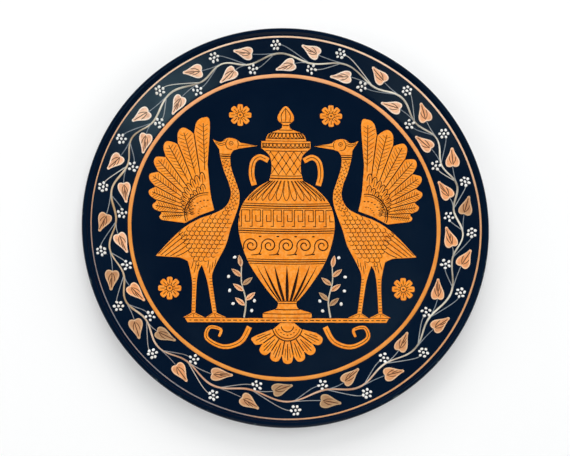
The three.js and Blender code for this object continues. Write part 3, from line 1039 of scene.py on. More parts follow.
@dataclass
class IvyWreath:
    """Running ivy on the border: vine, stalks, berries and heart-shaped leaves."""

    surface: PlateSurface
    vine_radius: float = 102.425
    swing: float = 2.5
    vine_width: float = 1.12
    vine_height: float = 0.34
    stalk_width: float = 0.62
    stalk_tip: float = 0.42
    stalk_height: float = 0.26
    stalk_gap: float = 0.3
    berry_ring: float = 2.38
    berry_radius: float = 0.89
    berry_height: float = 0.5
    leaf_height: float = 0.36
    leaf_rim: float = 0.75
    midrib_width: float = 0.72
    side_vein_width: float = 0.58
    vein_height: float = 0.06
    vein_base: float = 0.23
    palest_at: float = 110.0
    flush_at: float = 315.0
    flush_spread: float = 35.0
    browning: float = 0.32
    bends: tuple[float, ...] = (
        5.4, 21.6, 38.8, 57.7, 81, 102.7, 120.1, 142.2, 159.5,
        179, 197.6, 214.7, 234.1, 257.2, 282.2, 304.1, 325.8, 348.4,
    )
    outer_leaves: LeafKind = LeafKind(
        angles=(
            6.4, 22.6, 39.8, 58.7, 82, 103.8, 121.2, 143.3, 160.5,
            180.1, 198.6, 215.7, 235.1, 258.2, 283.2, 305, 326.8, 349.3,
        ),
        length=12, half_width=4.1, offset=5.3, tilt=22, stalk_from=-0.46, bulge=-0.3,
        browned=(0, 9, 10, 11, 14),
    )
    inner_leaves: LeafKind = LeafKind(
        angles=(
            13, 31.5, 49.1, 69.9, 90, 111, 132.1, 150.1, 169.1,
            187.1, 205.4, 223.3, 246.8, 268.2, 292.4, 314.3, 336.8, 356,
        ),
        length=12.6, half_width=3.9, offset=-5.6, tilt=-20, stalk_from=0.06, bulge=0.4,
        browned=(11, 13),
    )
    outer_berries: BerryKind = BerryKind(
        angles=(
            13.9, 30.5, 48.4, 72.4, 93.1, 113, 133.2, 152.7, 168.9,
            189, 206.8, 224.6, 246.9, 272.1, 294.5, 316.1, 338.2, 357.5,
        ),
        count=6, offset=7.4, stalk_from=0.02, bulge=0.55,
    )
    inner_berries: BerryKind = BerryKind(
        angles=(
            3.2, 22.2, 39.8, 61.6, 80.7, 101.6, 123, 141, 159.4,
            176.5, 195, 214.5, 235.8, 259.3, 282, 305.4, 327.5, 346.2,
        ),
        count=5, offset=-5.6, stalk_from=-0.42, bulge=0.7,
    )

    def bend(self, k: int) -> float:
        """Gives the direction of an inward bend of the vine."""
        turns, spot = divmod(k, len(self.bends))
        return self.bends[spot] + 360 * turns

    def phase(self, k: int, share: float) -> float:
        """Gives a direction between two bends.

        Args:
            k: Number of the first bend.
            share: How far towards the next one, below 0 and above 1 too.

        Returns:
            The direction in degrees.
        """
        whole = math.floor(share)
        start, end = self.bend(k + whole), self.bend(k + whole + 1)
        return start + (end - start) * (share - whole)

    def at(self, degrees: float, offset: float) -> Vector:
        """Gives a point off the middle line of the wreath."""
        return polar(self.vine_radius + offset, degrees)

    def sway(self, share: float) -> float:
        """Gives how far the vine swings out at a share of its bend."""
        return -self.swing * math.cos(2 * math.pi * share)

    def vine(self, brush: PaintMesh) -> None:
        """Draws the vine itself.

        Args:
            brush: Paint that it is drawn with.
        """
        steps = 20
        path, widths, tones = [], [], []
        for k in range(len(self.bends)):
            for step in range(steps):
                share = step / steps
                angle = self.phase(k, share)
                path.append(self.at(angle, self.sway(share)))
                turn = math.radians(angle)
                load = 1 + 0.1 * math.sin(9 * turn) + 0.08 * math.sin(31 * turn + 1)
                widths.append(self.vine_width * load)
                tones.append(0.5 + 0.3 * math.sin(13 * turn + 2) + 0.15 * math.sin(43 * turn))
        smooth = []
        for i, point in enumerate(path):
            smooth.append((path[i - 2] + 2 * path[i - 1] + 3 * point
                           + 2 * path[(i + 1) % len(path)] + path[(i + 2) % len(path)]) / 9)
        brush.stroke(smooth, widths, self.vine_height, tones, closed=True)

    def stalk(self, brush: PaintMesh, points: Path, tone: float) -> None:
        """Draws a stalk that thins towards its tip.

        Args:
            brush: Paint that it is drawn with.
            points: Points that it passes through.
            tone: Shade of the stalk.
        """
        path = curve(points, 6)
        last = len(path) - 1
        taper = self.stalk_tip - self.stalk_width
        widths = [self.stalk_width + taper * i / last for i in range(last + 1)]
        brush.stroke(path, widths, self.stalk_height, tone)

    def berry_stalk(self, kind: BerryKind, k: int) -> Path:
        """Gives the run of a berry stalk.

        Args:
            kind: Row that the cluster belongs to.
            k: Number of the cluster.

        Returns:
            Points from the vine to the middle of the cluster.
        """
        start, end = self.phase(k, kind.stalk_from), kind.angles[k]

        def on(share: float, offset: float) -> Vector:
            """Gives a point a share of the way round to the cluster."""
            return self.at(start + (end - start) * share, offset)

        return [
            on(0.0, self.sway(kind.stalk_from)), on(0.55, kind.bulge * kind.offset),
            on(0.8, 0.95 * kind.offset), on(0.94, kind.offset),
        ]

    def leaf_stalk(self, kind: LeafKind, k: int) -> Path:
        """Gives the run of a leaf stalk.

        Args:
            kind: Row that the leaf belongs to.
            k: Number of the leaf.

        Returns:
            Points from the vine to the notch of the leaf.
        """
        start = self.at(self.phase(k, kind.stalk_from), self.sway(kind.stalk_from))
        heading = kind.angles[k] + 90 - kind.tilt
        back = kind.length / 2 + self.stalk_gap - 0.7
        end = self.at(kind.angles[k], kind.offset) - polar(back, heading)
        middle = (start + end) / 2
        middle = middle * (middle.length + kind.bulge) / middle.length
        return [start, middle, end]

    def leaf_outline(self, kind: LeafKind, rng: random.Random) -> Path:
        """Gives a heart outline round the origin with its tip towards +X.

        Args:
            kind: Row that the leaf belongs to.
            rng: Source of the small differences between leaves.

        Returns:
            The closed outline.
        """
        length = kind.length * rng.uniform(0.98, 1.03)
        left, right = (kind.half_width * rng.uniform(0.94, 1.04) for _ in range(2))
        bow = rng.uniform(-0.05, 0.05) * kind.half_width
        half = [
            (0.045, 0.0), (0.005, 0.27), (0.0, 0.58), (0.06, 0.87), (0.2, 1.0), (0.36, 0.94),
            (0.54, 0.69), (0.71, 0.43), (0.86, 0.25), (0.955, 0.19), (1.0, 0.0),
        ]
        lower = [Vector((u * length, -v * right + bow * u)) for u, v in half]
        upper = [Vector((u * length, v * left + bow * u)) for u, v in reversed(half)]
        path = curve(lower, 3)[:-1] + curve(upper, 3)[:-1]
        return [p - Vector((length / 2, 0.0)) for p in path]

    def tone(self, kind: LeafKind, k: int, rng: random.Random) -> float:
        """Gives a leaf's shade: pale at the top, tan below, with a few that fired brown.

        Args:
            kind: Row that the leaf belongs to.
            k: Number of the leaf.
            rng: Source of the small differences between leaves.

        Returns:
            The shade, from 0 to 1.
        """
        degrees = kind.angles[k]
        away = (degrees - self.flush_at + 180) % 360 - 180
        shade = 0.55 + 0.35 * math.cos(math.radians(degrees - self.palest_at))
        shade += 0.14 * math.exp(-((away / self.flush_spread) ** 2))
        shade -= self.browning * (k in kind.browned)
        return min(max(shade + rng.uniform(-0.08, 0.08), 0.02), 0.98)

    def leaves(self, kind: LeafKind, fill: PaintMesh, veins: PaintMesh, seed: int) -> None:
        """Paints one row of leaves with their veins.

        Args:
            kind: Row of leaves.
            fill: Paint of the leaves.
            veins: Paint of the veins.
            seed: Number that the differences between the leaves follow.
        """
        rng = random.Random(seed)
        for k, angle in enumerate(kind.angles):
            centre = self.at(angle, kind.offset)
            heading = math.radians(angle + 90 - kind.tilt)
            cos, sin = math.cos(heading), math.sin(heading)

            def put(p: Vector) -> Vector:
                """Brings a point of the leaf to its place."""
                return centre + Vector((p.x * cos - p.y * sin, p.x * sin + p.y * cos))

            outline = [put(p) for p in self.leaf_outline(kind, rng)]
            middle = put(Vector((-0.12 * kind.length, 0.0)))
            fill.leaf(outline, middle, self.leaf_height, self.leaf_rim, self.tone(kind, k, rng))
            self.vein_strokes(kind, put, veins, rng)

    def vein_strokes(
        self, kind: LeafKind, put: Callable[[Vector], Vector], veins: PaintMesh, rng: random.Random
    ) -> None:
        """Draws the midrib and the side veins of one leaf.

        Args:
            kind: Row that the leaf belongs to.
            put: Turns a point of the leaf into a point of the plate.
            veins: Paint of the veins.
            rng: Source of the small differences between leaves.
        """
        length, half = kind.length, kind.half_width
        bend = rng.uniform(-0.35, 0.35)
        rib = [Vector((u * length, bend * math.sin(3 * u))) for u in (-0.37, -0.14, 0.1, 0.34)]
        self.vein(veins, [put(p) for p in curve(rib, 4)], self.midrib_width, rng)
        for side in (-1, 1):
            for start, end, spread in ((-0.33, 0.1, 0.5), (-0.08, 0.2, 0.26)):
                if spread < 0.4 and rng.random() < 0.6:
                    continue
                out = side * half * spread * rng.uniform(0.88, 1.1)
                path = [
                    Vector((start * length, side * 0.5)),
                    Vector(((start * 0.6 + end * 0.4) * length, out * 0.78)),
                    Vector(((end + rng.uniform(-0.06, 0.05)) * length, out)),
                ]
                self.vein(veins, [put(p) for p in curve(path, 4)], self.side_vein_width, rng)

    def vein(self, veins: PaintMesh, path: Path, width: float, rng: random.Random) -> None:
        """Draws one vein, full in its middle and thin at both ends.

        Args:
            veins: Paint of the veins.
            path: Points along it.
            width: Its greatest width.
            rng: Source of its shade.
        """
        last = len(path) - 1
        presses = [math.sin(math.pi * (0.15 + 0.7 * i / last)) for i in range(last + 1)]
        widths = [width * (0.45 + 0.55 * press) for press in presses]
        veins.stroke(
            path, widths, self.vein_height, rng.uniform(0.2, 0.8), base=self.vein_base,
            section=Section.FINE,
        )

    def build(self, finishes: dict[str, bpy.types.Material], veins: PaintMesh) -> None:
        """Paints the whole wreath.

        Args:
            finishes: Materials by the name of the paint.
            veins: Paint of the leaf veins.
        """
        vine, stalks, berries = (PaintMesh(self.surface) for _ in range(3))
        self.vine(vine)
        for k in range(len(self.bends)):
            rng = random.Random(50 + k)
            for kind in (self.outer_berries, self.inner_berries):
                self.stalk(stalks, self.berry_stalk(kind, k), rng.choice((0.2, 0.35, 0.75)))
                self.berries(berries, kind, k)
            for leaf in (self.outer_leaves, self.inner_leaves):
                self.stalk(stalks, self.leaf_stalk(leaf, k), rng.uniform(0.05, 0.4))
        vine.build("ivy_vine_stroke", finishes["vine"], Slot.CREAM, "ivy_vine")
        stalks.build("ivy_stalks", finishes["stalk"], Slot.CREAM, "ivy_vine")
        berries.build("ivy_berries", finishes["white"], Slot.CREAM, "ivy_vine")
        for row, kind, seed in (("outer", self.outer_leaves, 7), ("inner", self.inner_leaves, 11)):
            fill = PaintMesh(self.surface)
            self.leaves(kind, fill, veins, seed)
            nodes = [f"ivy_leaf_{row}_{k + 1:02d}" for k in range(len(kind.angles))]
            fill.build(f"ivy_leaves_{row}", finishes["leaf"], Slot.COPPER, *nodes)

    def berries(self, brush: PaintMesh, kind: BerryKind, k: int) -> None:
        """Dabs one cluster of berries.

        Args:
            brush: Paint of the berries.
            kind: Row that the cluster belongs to.
            k: Number of the cluster.
        """
        centre = self.at(kind.angles[k], kind.offset)
        rng = random.Random(100 * kind.count + k)
        brush.dot(centre, self.berry_radius * 0.95, self.berry_height, rng.random(), k)
        for i in range(kind.count):
            turn = kind.angles[k] - 90 + 360 * i / kind.count + rng.uniform(-7, 7)
            spot = centre + polar(self.berry_ring * rng.uniform(0.96, 1.04), turn)
            size = self.berry_radius * rng.uniform(0.9, 1.08)
            brush.dot(spot, size, self.berry_height, rng.random(), 1000 * kind.count + 10 * k + i)


def drawn(*points: tuple[float, float]) -> Path:
    """Turns pairs of numbers into points of a drawing."""
    return [Vector(p) for p in points]


@dataclass
class Brushwork:
    """The picture's paints, and how its drawn millimetres are fitted to the plate."""

    surface: PlateSurface
    fit: float
    fill_height: float = 0.3
    fill_edge: float = 0.16
    line_height: float = 0.07
    press: float = 1.6
    fills: dict[str, PaintMesh] = field(default_factory=dict)

    def __post_init__(self) -> None:
        """Starts the dark paint."""
        self.dark = PaintMesh(self.surface)

    def fitted(self, path: Path, side: int = 1) -> Path:
        """Brings drawn points to the plate, mirrored where side is -1."""
        return [Vector((p.x * side, p.y)) * self.fit for p in path]

    def fill(self, group: str, outline: Path, side: int = 1, tone: float = 0.5) -> None:
        """Fills an outline with orange slip.

        Args:
            group: Piece that the shape belongs to.
            outline: Drawn outline.
            side: 1, or -1 to mirror it.
            tone: Shade.
        """
        mesh = self.fills.setdefault(group, PaintMesh(self.surface))
        mesh.patch(self.fitted(outline, side), self.fill_height, self.fill_edge, tone)

    def line(self, path: Path, width: float = 0.42, side: int = 1, fade: float = 0.5) -> None:
        """Draws a fine line over the orange slip.

        Args:
            path: Drawn points.
            width: Width where the brush presses most.
            side: 1, or -1 to mirror it.
            fade: Share of the width that is left at the ends.
        """
        last = max(len(path) - 1, 1)
        widths = [
            self.press * width
            * (fade + (1 - fade) * math.sin(math.pi * min(max(i / last, 0.08), 0.92)) ** 0.5)
            for i in range(len(path))
        ]
        self.dark.stroke(
            self.fitted(path, side), widths, self.line_height, base=self.fill_height,
            section=Section.FINE,
        )

    def shape(self, path: Path, widths: Sequence[float], side: int = 1) -> None:
        """Draws a full stroke.

        Args:
            path: Drawn points.
            widths: Width at each point.
            side: 1, or -1 to mirror it.
        """
        self.dark.stroke(
            self.fitted(path, side), list(widths), self.line_height, base=self.fill_height,
            section=Section.FINE,
        )

    def dab(self, spot: Vector, half: float, width: float, side: int = 1) -> None:
        """Sets down the brush for a short dark dab.

        Args:
            spot: Its middle.
            half: Half of its length.
            width: Its width.
            side: 1, or -1 to mirror it.
        """
        self.shape([spot - Vector((half, 0)), spot + Vector((half, 0))], (width, width), side)

    def within(self, outline: Path, path: Path, width: float = 0.4, side: int = 1) -> None:
        """Draws the parts of a line that lie inside an outline."""
        for run in clipped(path, outline):
            self.line(run, width, side, fade=0.75)


def outline_of(start: tuple[float, float], runs: Sequence[Sequence[tuple[float, float]]]) -> Path:
    """Gives an outline from its start and its smooth runs, with a corner between two runs.

    Args:
        start: First point.
        runs: Points of each run; a run of one point is a straight line.

    Returns:
        The closed outline, sampled finely.
    """
    path = [Vector(start)]
    for run in runs:
        if len(run) == 1:
            path.append(Vector(run[0]))
            continue
        path += curve([path[-1], *drawn(*run)], 6)[1:]
    if (path[0] - path[-1]).length < 1e-6:
        path.pop()
    return path


def fan(
    centre: tuple[float, float], start: float, end: float, count: int,
    reach: Callable[[int], float], notch: float,
) -> list[list[tuple[float, float]]]:
    """Gives a fan of rounded tips as runs of an outline.

    Args:
        centre: Middle of the fan.
        start: Direction of the first tip.
        end: Direction of the last tip.
        count: Number of tips.
        reach: Length of each tip.
        notch: Share of that length where two tips part.

    Returns:
        One run for each tip.
    """
    pitch = (end - start) / (count - 1)
    runs = []
    for i in range(count):
        degrees, long = start + i * pitch, reach(i)
        run = []
        for turn, share in ((-0.3, 0.955), (0.0, 1.0), (0.3, 0.955), (0.5, notch)):
            p = Vector(centre) + polar(long * share, degrees + turn * pitch)
            run.append((p.x, p.y))
        runs.append(run)
    return runs


def ribbon(path: Path, halves: Sequence[float]) -> Path:
    """Gives the outline of a flat strip.

    Args:
        path: Points along its middle.
        halves: Half of its width at each point.

    Returns:
        The closed outline.
    """
    left, right = [], []
    for p, way, half in zip(path, headings(path), halves):
        across = Vector((-way.y, way.x)) * half
        left.append(p + across)
        right.insert(0, p - across)
    return left + right


def ray(centre: Vector, length: float, degrees: float, shares: Sequence[float]) -> Path:
    """Gives points at shares of a length in one direction."""
    return [centre + polar(length * share, degrees) for share in shares]


def arc(centre: Vector, radius: float, start: float, end: float, steps: int = 10) -> Path:
    """Gives points along an arc."""
    return [centre + polar(radius, start + (end - start) * i / steps) for i in range(steps + 1)]


@dataclass
class LiddedJar:
    """Tall jar with two handles and a knobbed lid, banded with traditional patterns."""

    ground: float = -54.9
    height: float = 105.0
    gap: float = 0.6
    handle_half: float = 1.5
    handle: tuple[tuple[float, float], ...] = (
        (10.6, 93.4), (15.5, 95.5), (19.4, 92.4), (20.4, 84.9), (18.9, 78.5),
    )
    bands: tuple[tuple[float, float], ...] = (
        (103.9, 0.4), (101.3, 0.5), (99.3, 0.4), (84.2, 0.4), (82.6, 0.6), (67.6, 0.4), (66.3, 0.6),
        (65.0, 0.4), (52.6, 0.4), (51.3, 0.6), (50.0, 0.4), (34.4, 0.4), (33.1, 0.6), (31.8, 0.4),
        (9.6, 0.5), (8.2, 0.4), (4.6, 0.5), (2.2, 0.4),
    )
    lid_bands: tuple[tuple[float, float], ...] = (
        (1.3, 0.4), (4.6, 0.5), (6.4, 0.4), (9.2, 0.5), (11.2, 0.4),
    )
    tongue_rows: tuple[tuple[float, float, int], ...] = ((69.2, 81.0, 13), (101.6, 103.6, 14))
    lid_tongues: tuple[float, float, int] = (1.5, 4.3, 12)
    knob_height: float = 14.2
    net_from: float = 84.8
    net_to: float = 98.8
    net_pitch: float = 4.6
    key_from: float = 53.7
    key_pitch: float = 6.2
    key_line: float = 0.62
    key: tuple[tuple[float, float], ...] = (
        (0, 0), (0, 9.8), (4.9, 9.8), (4.9, 3.0), (2.2, 3.0), (2.2, 6.6),
    )
    spirals_at: float = 42.3
    spiral_pitch: float = 10.4
    spiral_radius: float = 4.6
    rays_from: float = 10.4
    rays_to: float = 30.4
    ray_count: int = 7

    def up(self, points: Sequence[tuple[float, float]]) -> list[tuple[float, float]]:
        """Lifts points that are measured from the jar's standing face."""
        return [(x, y + self.ground) for x, y in points]

    def outline(self) -> Path:
        """Gives the jar's outline.

        Returns:
            The closed outline.
        """
        foot = [(14, 2), (12.5, 3), (6.5, 5), (5, 8.5)]
        belly = [(13, 18), (23, 34), (28, 52), (26, 66), (18, 76), (10, 81)]
        neck = [(8.5, 88), (9.5, 96), (14.5, 101)]

        def back(run: list, before: tuple) -> list:
            """Mirrors a run and turns it round."""
            return [(-x, y) for x, y in [*run[:-1][::-1], before]]

        runs = [
            [(14, 0)], foot, belly, neck, [(14.5, self.height)], [(-14.5, self.height)],
            [(-14.5, 101)], back(neck, belly[-1]), back(belly, foot[-1]), back(foot, (14, 0)),
        ]
        return outline_of(self.up([(-14, 0)])[0], [self.up(run) for run in runs])

    def lid_outline(self) -> Path:
        """Gives the lid's outline.

        Returns:
            The closed outline.
        """
        bottom = self.height + self.gap
        runs = [
            [(12, 0)], [(10, 4), (3, 7), (1.8, 10)],
            [(4.5, 12.5), (4.2, 16), (0, 21), (-4.2, 16), (-4.5, 12.5), (-1.8, 10)],
            [(-3, 7), (-10, 4), (-12, 0)],
        ]
        lifted = [self.up([(x, y + bottom) for x, y in run]) for run in runs]
        return outline_of(self.up([(-12, bottom)])[0], lifted)

    def half_width(self, outline: Path, y: float) -> float:
        """Gives how far an outline reaches from the middle.

        Args:
            outline: Outline of the jar or the lid.
            y: Height in the drawing.

        Returns:
            Its reach at that height.
        """
        widest = 0.0
        for i, a in enumerate(outline):
            b = outline[i - 1]
            if (a.y > y) != (b.y > y):
                widest = max(widest, abs(a.x + (y - a.y) / (b.y - a.y) * (b.x - a.x)))
        return widest

    def band(self, work: Brushwork, outline: Path, height: float, width: float) -> None:
        """Draws a line round the jar.

        Args:
            work: The picture's paints.
            outline: Outline of the jar or the lid.
            height: Height above the jar's standing face.
            width: Width of the line.
        """
        y = height + self.ground
        reach = self.half_width(outline, y) - 0.35
        path = []
        for t in range(-12, 13):
            path.append(Vector((reach * t / 12, y - 0.02 * reach * (1 - (t / 12) ** 2))))
        work.line(path, width, fade=0.9)

    def build(self, work: Brushwork) -> None:
        """Paints the jar, its lid and its handles.

        Args:
            work: The picture's paints.
        """
        jar, lid = self.outline(), self.lid_outline()
        work.fill("painted_jar", jar)
        work.fill("painted_jar", lid)
        for side in (-1, 1):
            path = curve(drawn(*self.up(self.handle)), 8)
            work.fill("painted_jar", ribbon(path, [self.handle_half] * len(path)), side)
            work.line(path[3:-3], 0.4, side)
        for height, width in self.bands:
            self.band(work, jar, height, width)
        for low, high, count in self.tongue_rows:
            self.tongues(work, jar, low, high, count)
        self.net(work, jar)
        self.meander(work, jar)
        self.spirals(work, jar)
        self.rays(work, jar)
        foot = self.height + self.gap
        for height, width in self.lid_bands:
            self.band(work, lid, foot + height, width)
        low, high, count = self.lid_tongues
        self.tongues(work, lid, foot + low, foot + high, count)
        knob = Vector((0.0, self.ground + foot + self.knob_height))
        for lean in (-2.4, 0.0, 2.4):
            rib = [(lean, -2.4), (lean * 1.1, 1.5), (0.0, 5.6)]
            work.line(curve([knob + Vector(p) for p in rib], 4), 0.4)

    def tongues(self, work: Brushwork, outline: Path, low: float, high: float, count: int) -> None:
        """Draws a row of tongues, closer together towards the sides.

        Args:
            work: The picture's paints.
            outline: Outline that limits them.
            low: Height of their rounded ends.
            high: Height of their open ends.
            count: Number of tongues.
        """
        for i in range(count):
            edges = [math.sin(math.radians(-78 + 156 * (i + t) / count)) for t in (0.12, 0.5, 0.88)]
            top_y, low_y = high + self.ground, low + self.ground
            top_w = self.half_width(outline, top_y - 0.2) - 0.3
            mid_y = low_y + 0.3 * (top_y - low_y)
            mid_w = self.half_width(outline, mid_y) - 0.3
            low_w = self.half_width(outline, low_y) - 0.5
            path = curve([
                Vector((edges[0] * top_w, top_y)), Vector((edges[0] * mid_w, mid_y)),
                Vector((edges[1] * low_w, low_y)), Vector((edges[2] * mid_w, mid_y)),
                Vector((edges[2] * top_w, top_y)),
            ], 5)
            work.line(path, 0.36, fade=0.8)

    def net(self, work: Brushwork, outline: Path) -> None:
        """Draws a net with a dot in each mesh on the neck.

        Args:
            work: The picture's paints.
            outline: Outline of the jar.
        """
        low, high, pitch = self.ground + self.net_from, self.ground + self.net_to, self.net_pitch
        for lean in (-1, 1):
            for i in range(-8, 9):
                path = [Vector((i * pitch + lean * (y - low) * 0.66, y)) for y in
                        [low + (high - low) * t / 24 for t in range(25)]]
                work.within(outline, path, 0.34)
        for row in range(5):
            for i in range(-4, 5):
                spot = Vector((i * pitch + (row % 2) * pitch / 2, low + row * 3.48))
                ring = arc(spot, 0.9, 0, 360, 6)
                if low < spot.y < high - 0.8 and all(inside(p, outline) for p in ring):
                    work.dab(spot, 0.25, 0.75)

    def meander(self, work: Brushwork, outline: Path) -> None:
        """Draws a running key between two lines on the belly.

        Args:
            work: The picture's paints.
            outline: Outline of the jar.
        """
        low, pitch = self.ground + self.key_from, self.key_pitch
        for i in range(-5, 6):
            corners = [Vector((x + i * pitch - 1.6, y + low)) for x, y in self.key]
            corners.append(corners[-1] + Vector((0.0, 0.1)))
            path = []
            for a, b in zip(corners, corners[1:]):
                steps = max(int((b - a).length / 0.6), 1)
                path += [a + (b - a) * t / steps for t in range(steps)]
                path.append(b - (b - a) * 0.05 / max((b - a).length, 0.05))
            foot = [Vector((i * pitch - 1.6 + 4.9 + 1.3 * t / 4, low)) for t in range(5)]
            for run in clipped(path, outline) + clipped(foot, outline):
                work.shape(run, [self.key_line] * len(run))

    def spirals(self, work: Brushwork, outline: Path) -> None:
        """Draws a row of linked spirals under the key.

        Args:
            work: The picture's paints.
            outline: Outline of the jar.
        """
        pitch, radius = self.spiral_pitch, self.spiral_radius
        for i in range(-2, 3):
            middle = Vector((i * pitch, self.ground + self.spirals_at))
            path = []
            for step in range(40):
                share = step / 39
                path.append(middle + polar(radius - (radius - 1) * share, 200 - 560 * share))
            for run in clipped(path, outline):
                work.line(run, 0.62, fade=0.7)
            link = curve([
                middle + polar(radius, 200), middle + Vector((-6.0, -5.0)), middle + Vector((-10.2, -5.6)),
            ], 6)
            for run in clipped(link, outline):
                work.line(run, 0.5)
            for dy in (-5.2, 5.4):
                spot = middle + Vector((pitch / 2, dy))
                if inside(spot + Vector((1.5, 0)), outline):
                    work.dab(spot, 0.3, 1.1)

    def rays(self, work: Brushwork, outline: Path) -> None:
        """Draws tall dark rays that rise from the foot.

        Args:
            work: The picture's paints.
            outline: Outline of the jar.
        """
        low, high = self.ground + self.rays_from, self.ground + self.rays_to
        for i in range(self.ray_count):
            across = math.sin(math.radians(-66 + 22 * i))
            path, widths = [], []
            for step in range(9):
                share = step / 8
                y = low + (high - low) * share
                half = self.half_width(outline, y) - 0.5
                path.append(Vector((across * half * 0.93, y)))
                widths.append(max(0.18, 0.3 * half * (1 - share) * math.cos(math.asin(across)) + 0.18))
            work.shape(path, widths)


@dataclass
class Crane:
    """A standing crane with its wing raised behind it."""

    ground: float = -54.9
    feathers: int = 8
    feather_length: float = 58.0
    feather_step: float = 4.4
    first_feather: float = 88.0
    last_feather: float = -4.0
    shoulder: tuple[float, float] = (47.0, 6.0)

    def outline(self) -> Path:
        """Gives the bird's outline.

        Returns:
            The closed outline.
        """
        g = self.ground
        return outline_of((17, 47.4), [
            [(27, 49)], [(30, 51.2), (34.5, 51.7), (38.5, 49.2)], [(43, 50.8)], [(39.3, 45)],
            [(38.6, 40), (36.5, 32), (33.5, 24), (32.5, 17), (36, 10), (43, 6), (50, 3.5)],
            [(58, -1), (66, -8), (76, -19)], [(68, -19.5), (62, -20), (57.5, -22)],
            [(56, -28), (54.9, -36), (55.2, g + 2.5)], [(60, g)], [(48, g)], [(53.3, g + 2.5)],
            [(52.6, -36), (51.5, -28), (49.5, -24)], [(48, -28), (45.8, -36), (43.1, g + 2.5)],
            [(47, g)], [(35.5, g)], [(41, g + 2.5)], [(43.3, -36), (43.4, -29), (40, -21)],
            [
                (35.5, -12), (33, -3), (30.5, 4), (28, 12), (27.8, 19), (30, 26), (32.5, 34),
                (33, 41), (31, 44.6),
            ],
            [(28, 45.6)],
        ])

    def wing_outline(self) -> Path:
        """Gives the raised wing's outline."""
        tips = fan(self.shoulder, self.first_feather, self.last_feather, self.feathers, self.reach, 0.83)
        return outline_of((42.5, 8.4), [[(44.6, 18), (46.4, 36)], *tips, [(59.5, 0.6)], [(51, 5.2)]])

    def reach(self, i: int) -> float:
        """Gives the length of a feather."""
        return self.feather_length - self.feather_step * i

    def build(self, work: Brushwork) -> None:
        """Paints both birds.

        Args:
            work: The picture's paints.
        """
        body, wing = self.outline(), self.wing_outline()
        for side in (-1, 1):
            work.fill("painted_cranes", body, side)
            work.fill("painted_cranes", wing, side)
            self.head(work, side)
            self.neck(work, body, side)
            self.plumage(work, body, side)
            self.legs(work, side)
            self.wing(work, wing, side)

    def head(self, work: Brushwork, side: int) -> None:
        """Draws the bill, the eye and the crest.

        Args:
            work: The picture's paints.
            side: 1, or -1 to mirror it.
        """
        work.line(curve(drawn((17.8, 47.45), (22.5, 47.7), (28.4, 47.3)), 5), 0.34, side, 0.3)
        work.line(curve(drawn((28.9, 50.3), (28.2, 48.4), (28.6, 46.0)), 4), 0.36, side)
        eye = Vector((32.4, 48.7))
        work.line(arc(eye, 1.15, 0, 345, 14), 0.3, side, 0.9)
        work.dab(eye, 0.12, 0.85, side)
        work.line(curve(drawn((34.2, 51.3), (35.6, 48.6), (34.6, 45.6), (32.1, 44.9)), 5), 0.4, side)
        for lift in (0.0, 1.3, 2.5):
            plume = drawn((36.0, 50.6 - lift), (38.6, 49.6 - lift * 0.9), (41.6, 50.1 - lift * 0.5))
            work.line(curve(plume, 4), 0.36, side, 0.3)

    def neck(self, work: Brushwork, body: Path, side: int) -> None:
        """Draws the collar and the small feathers of the neck.

        Args:
            work: The picture's paints.
            body: Outline of the bird.
            side: 1, or -1 to mirror it.
        """
        for y, width in ((42.4, 0.42), (41.2, 0.7), (40.0, 0.42)):
            path = [Vector((30 + 11 * t / 30, y - 0.5 * math.sin(math.pi * t / 30))) for t in range(31)]
            work.within(body, path, width, side)
        nape = drawn((35.8, 38.4), (34.2, 33), (31.8, 26.5), (30.2, 20), (30.4, 14.5), (32.4, 9))
        spine = curve(nape, 4)
        for i, (p, way) in enumerate(zip(spine, headings(spine))):
            across = Vector((-way.y, way.x))
            for shift in ((-1.5, 0.9) if i % 2 else (-0.3, 2.0)):
                spot = p + across * shift
                tick = curve([
                    spot - across * 0.55 - way * 0.2, spot + way * 0.7, spot + across * 0.55 - way * 0.2,
                ], 3)
                work.within(body, tick, 0.3, side)

    def plumage(self, work: Brushwork, body: Path, side: int) -> None:
        """Draws rows of scale feathers on the breast and long feathers in the tail.

        Args:
            work: The picture's paints.
            body: Outline of the bird.
            side: 1, or -1 to mirror it.
        """
        root, tail = Vector((31.5, 7.5)), Vector((62.5, -9.5))
        way = (tail - root).normalized()
        across = Vector((-way.y, way.x))
        for row in range(13):
            middle = root + way * (2.1 + 2.55 * row)
            for i in range(-6, 7):
                spot = middle + across * (i * 2.9 + (row % 2) * 1.45)
                scale = [
                    spot + across * 1.35 - way * 0.6, spot + across * 0.95 + way * 0.75,
                    spot + way * 1.25, spot - across * 0.95 + way * 0.75, spot - across * 1.35 - way * 0.6,
                ]
                if all(inside(p, body) for p in scale):
                    work.line(curve(scale, 3), 0.34, side, 0.6)
        for start, end, bow in (
            ((60.5, -4.9), (74.6, -17.9), 0.5), ((58.4, -6.2), (73.0, -18.5), 0.2),
            ((57.2, -8.6), (70.6, -18.9), -0.1), ((56.6, -11.4), (67.6, -19.1), -0.4),
            ((55.8, -14.4), (64.4, -19.3), -0.6),
        ):
            a, b = Vector(start), Vector(end)
            middle = (a + b) / 2 + Vector((0.0, bow))
            work.within(body, curve([a, middle, b], 8), 0.4, side)

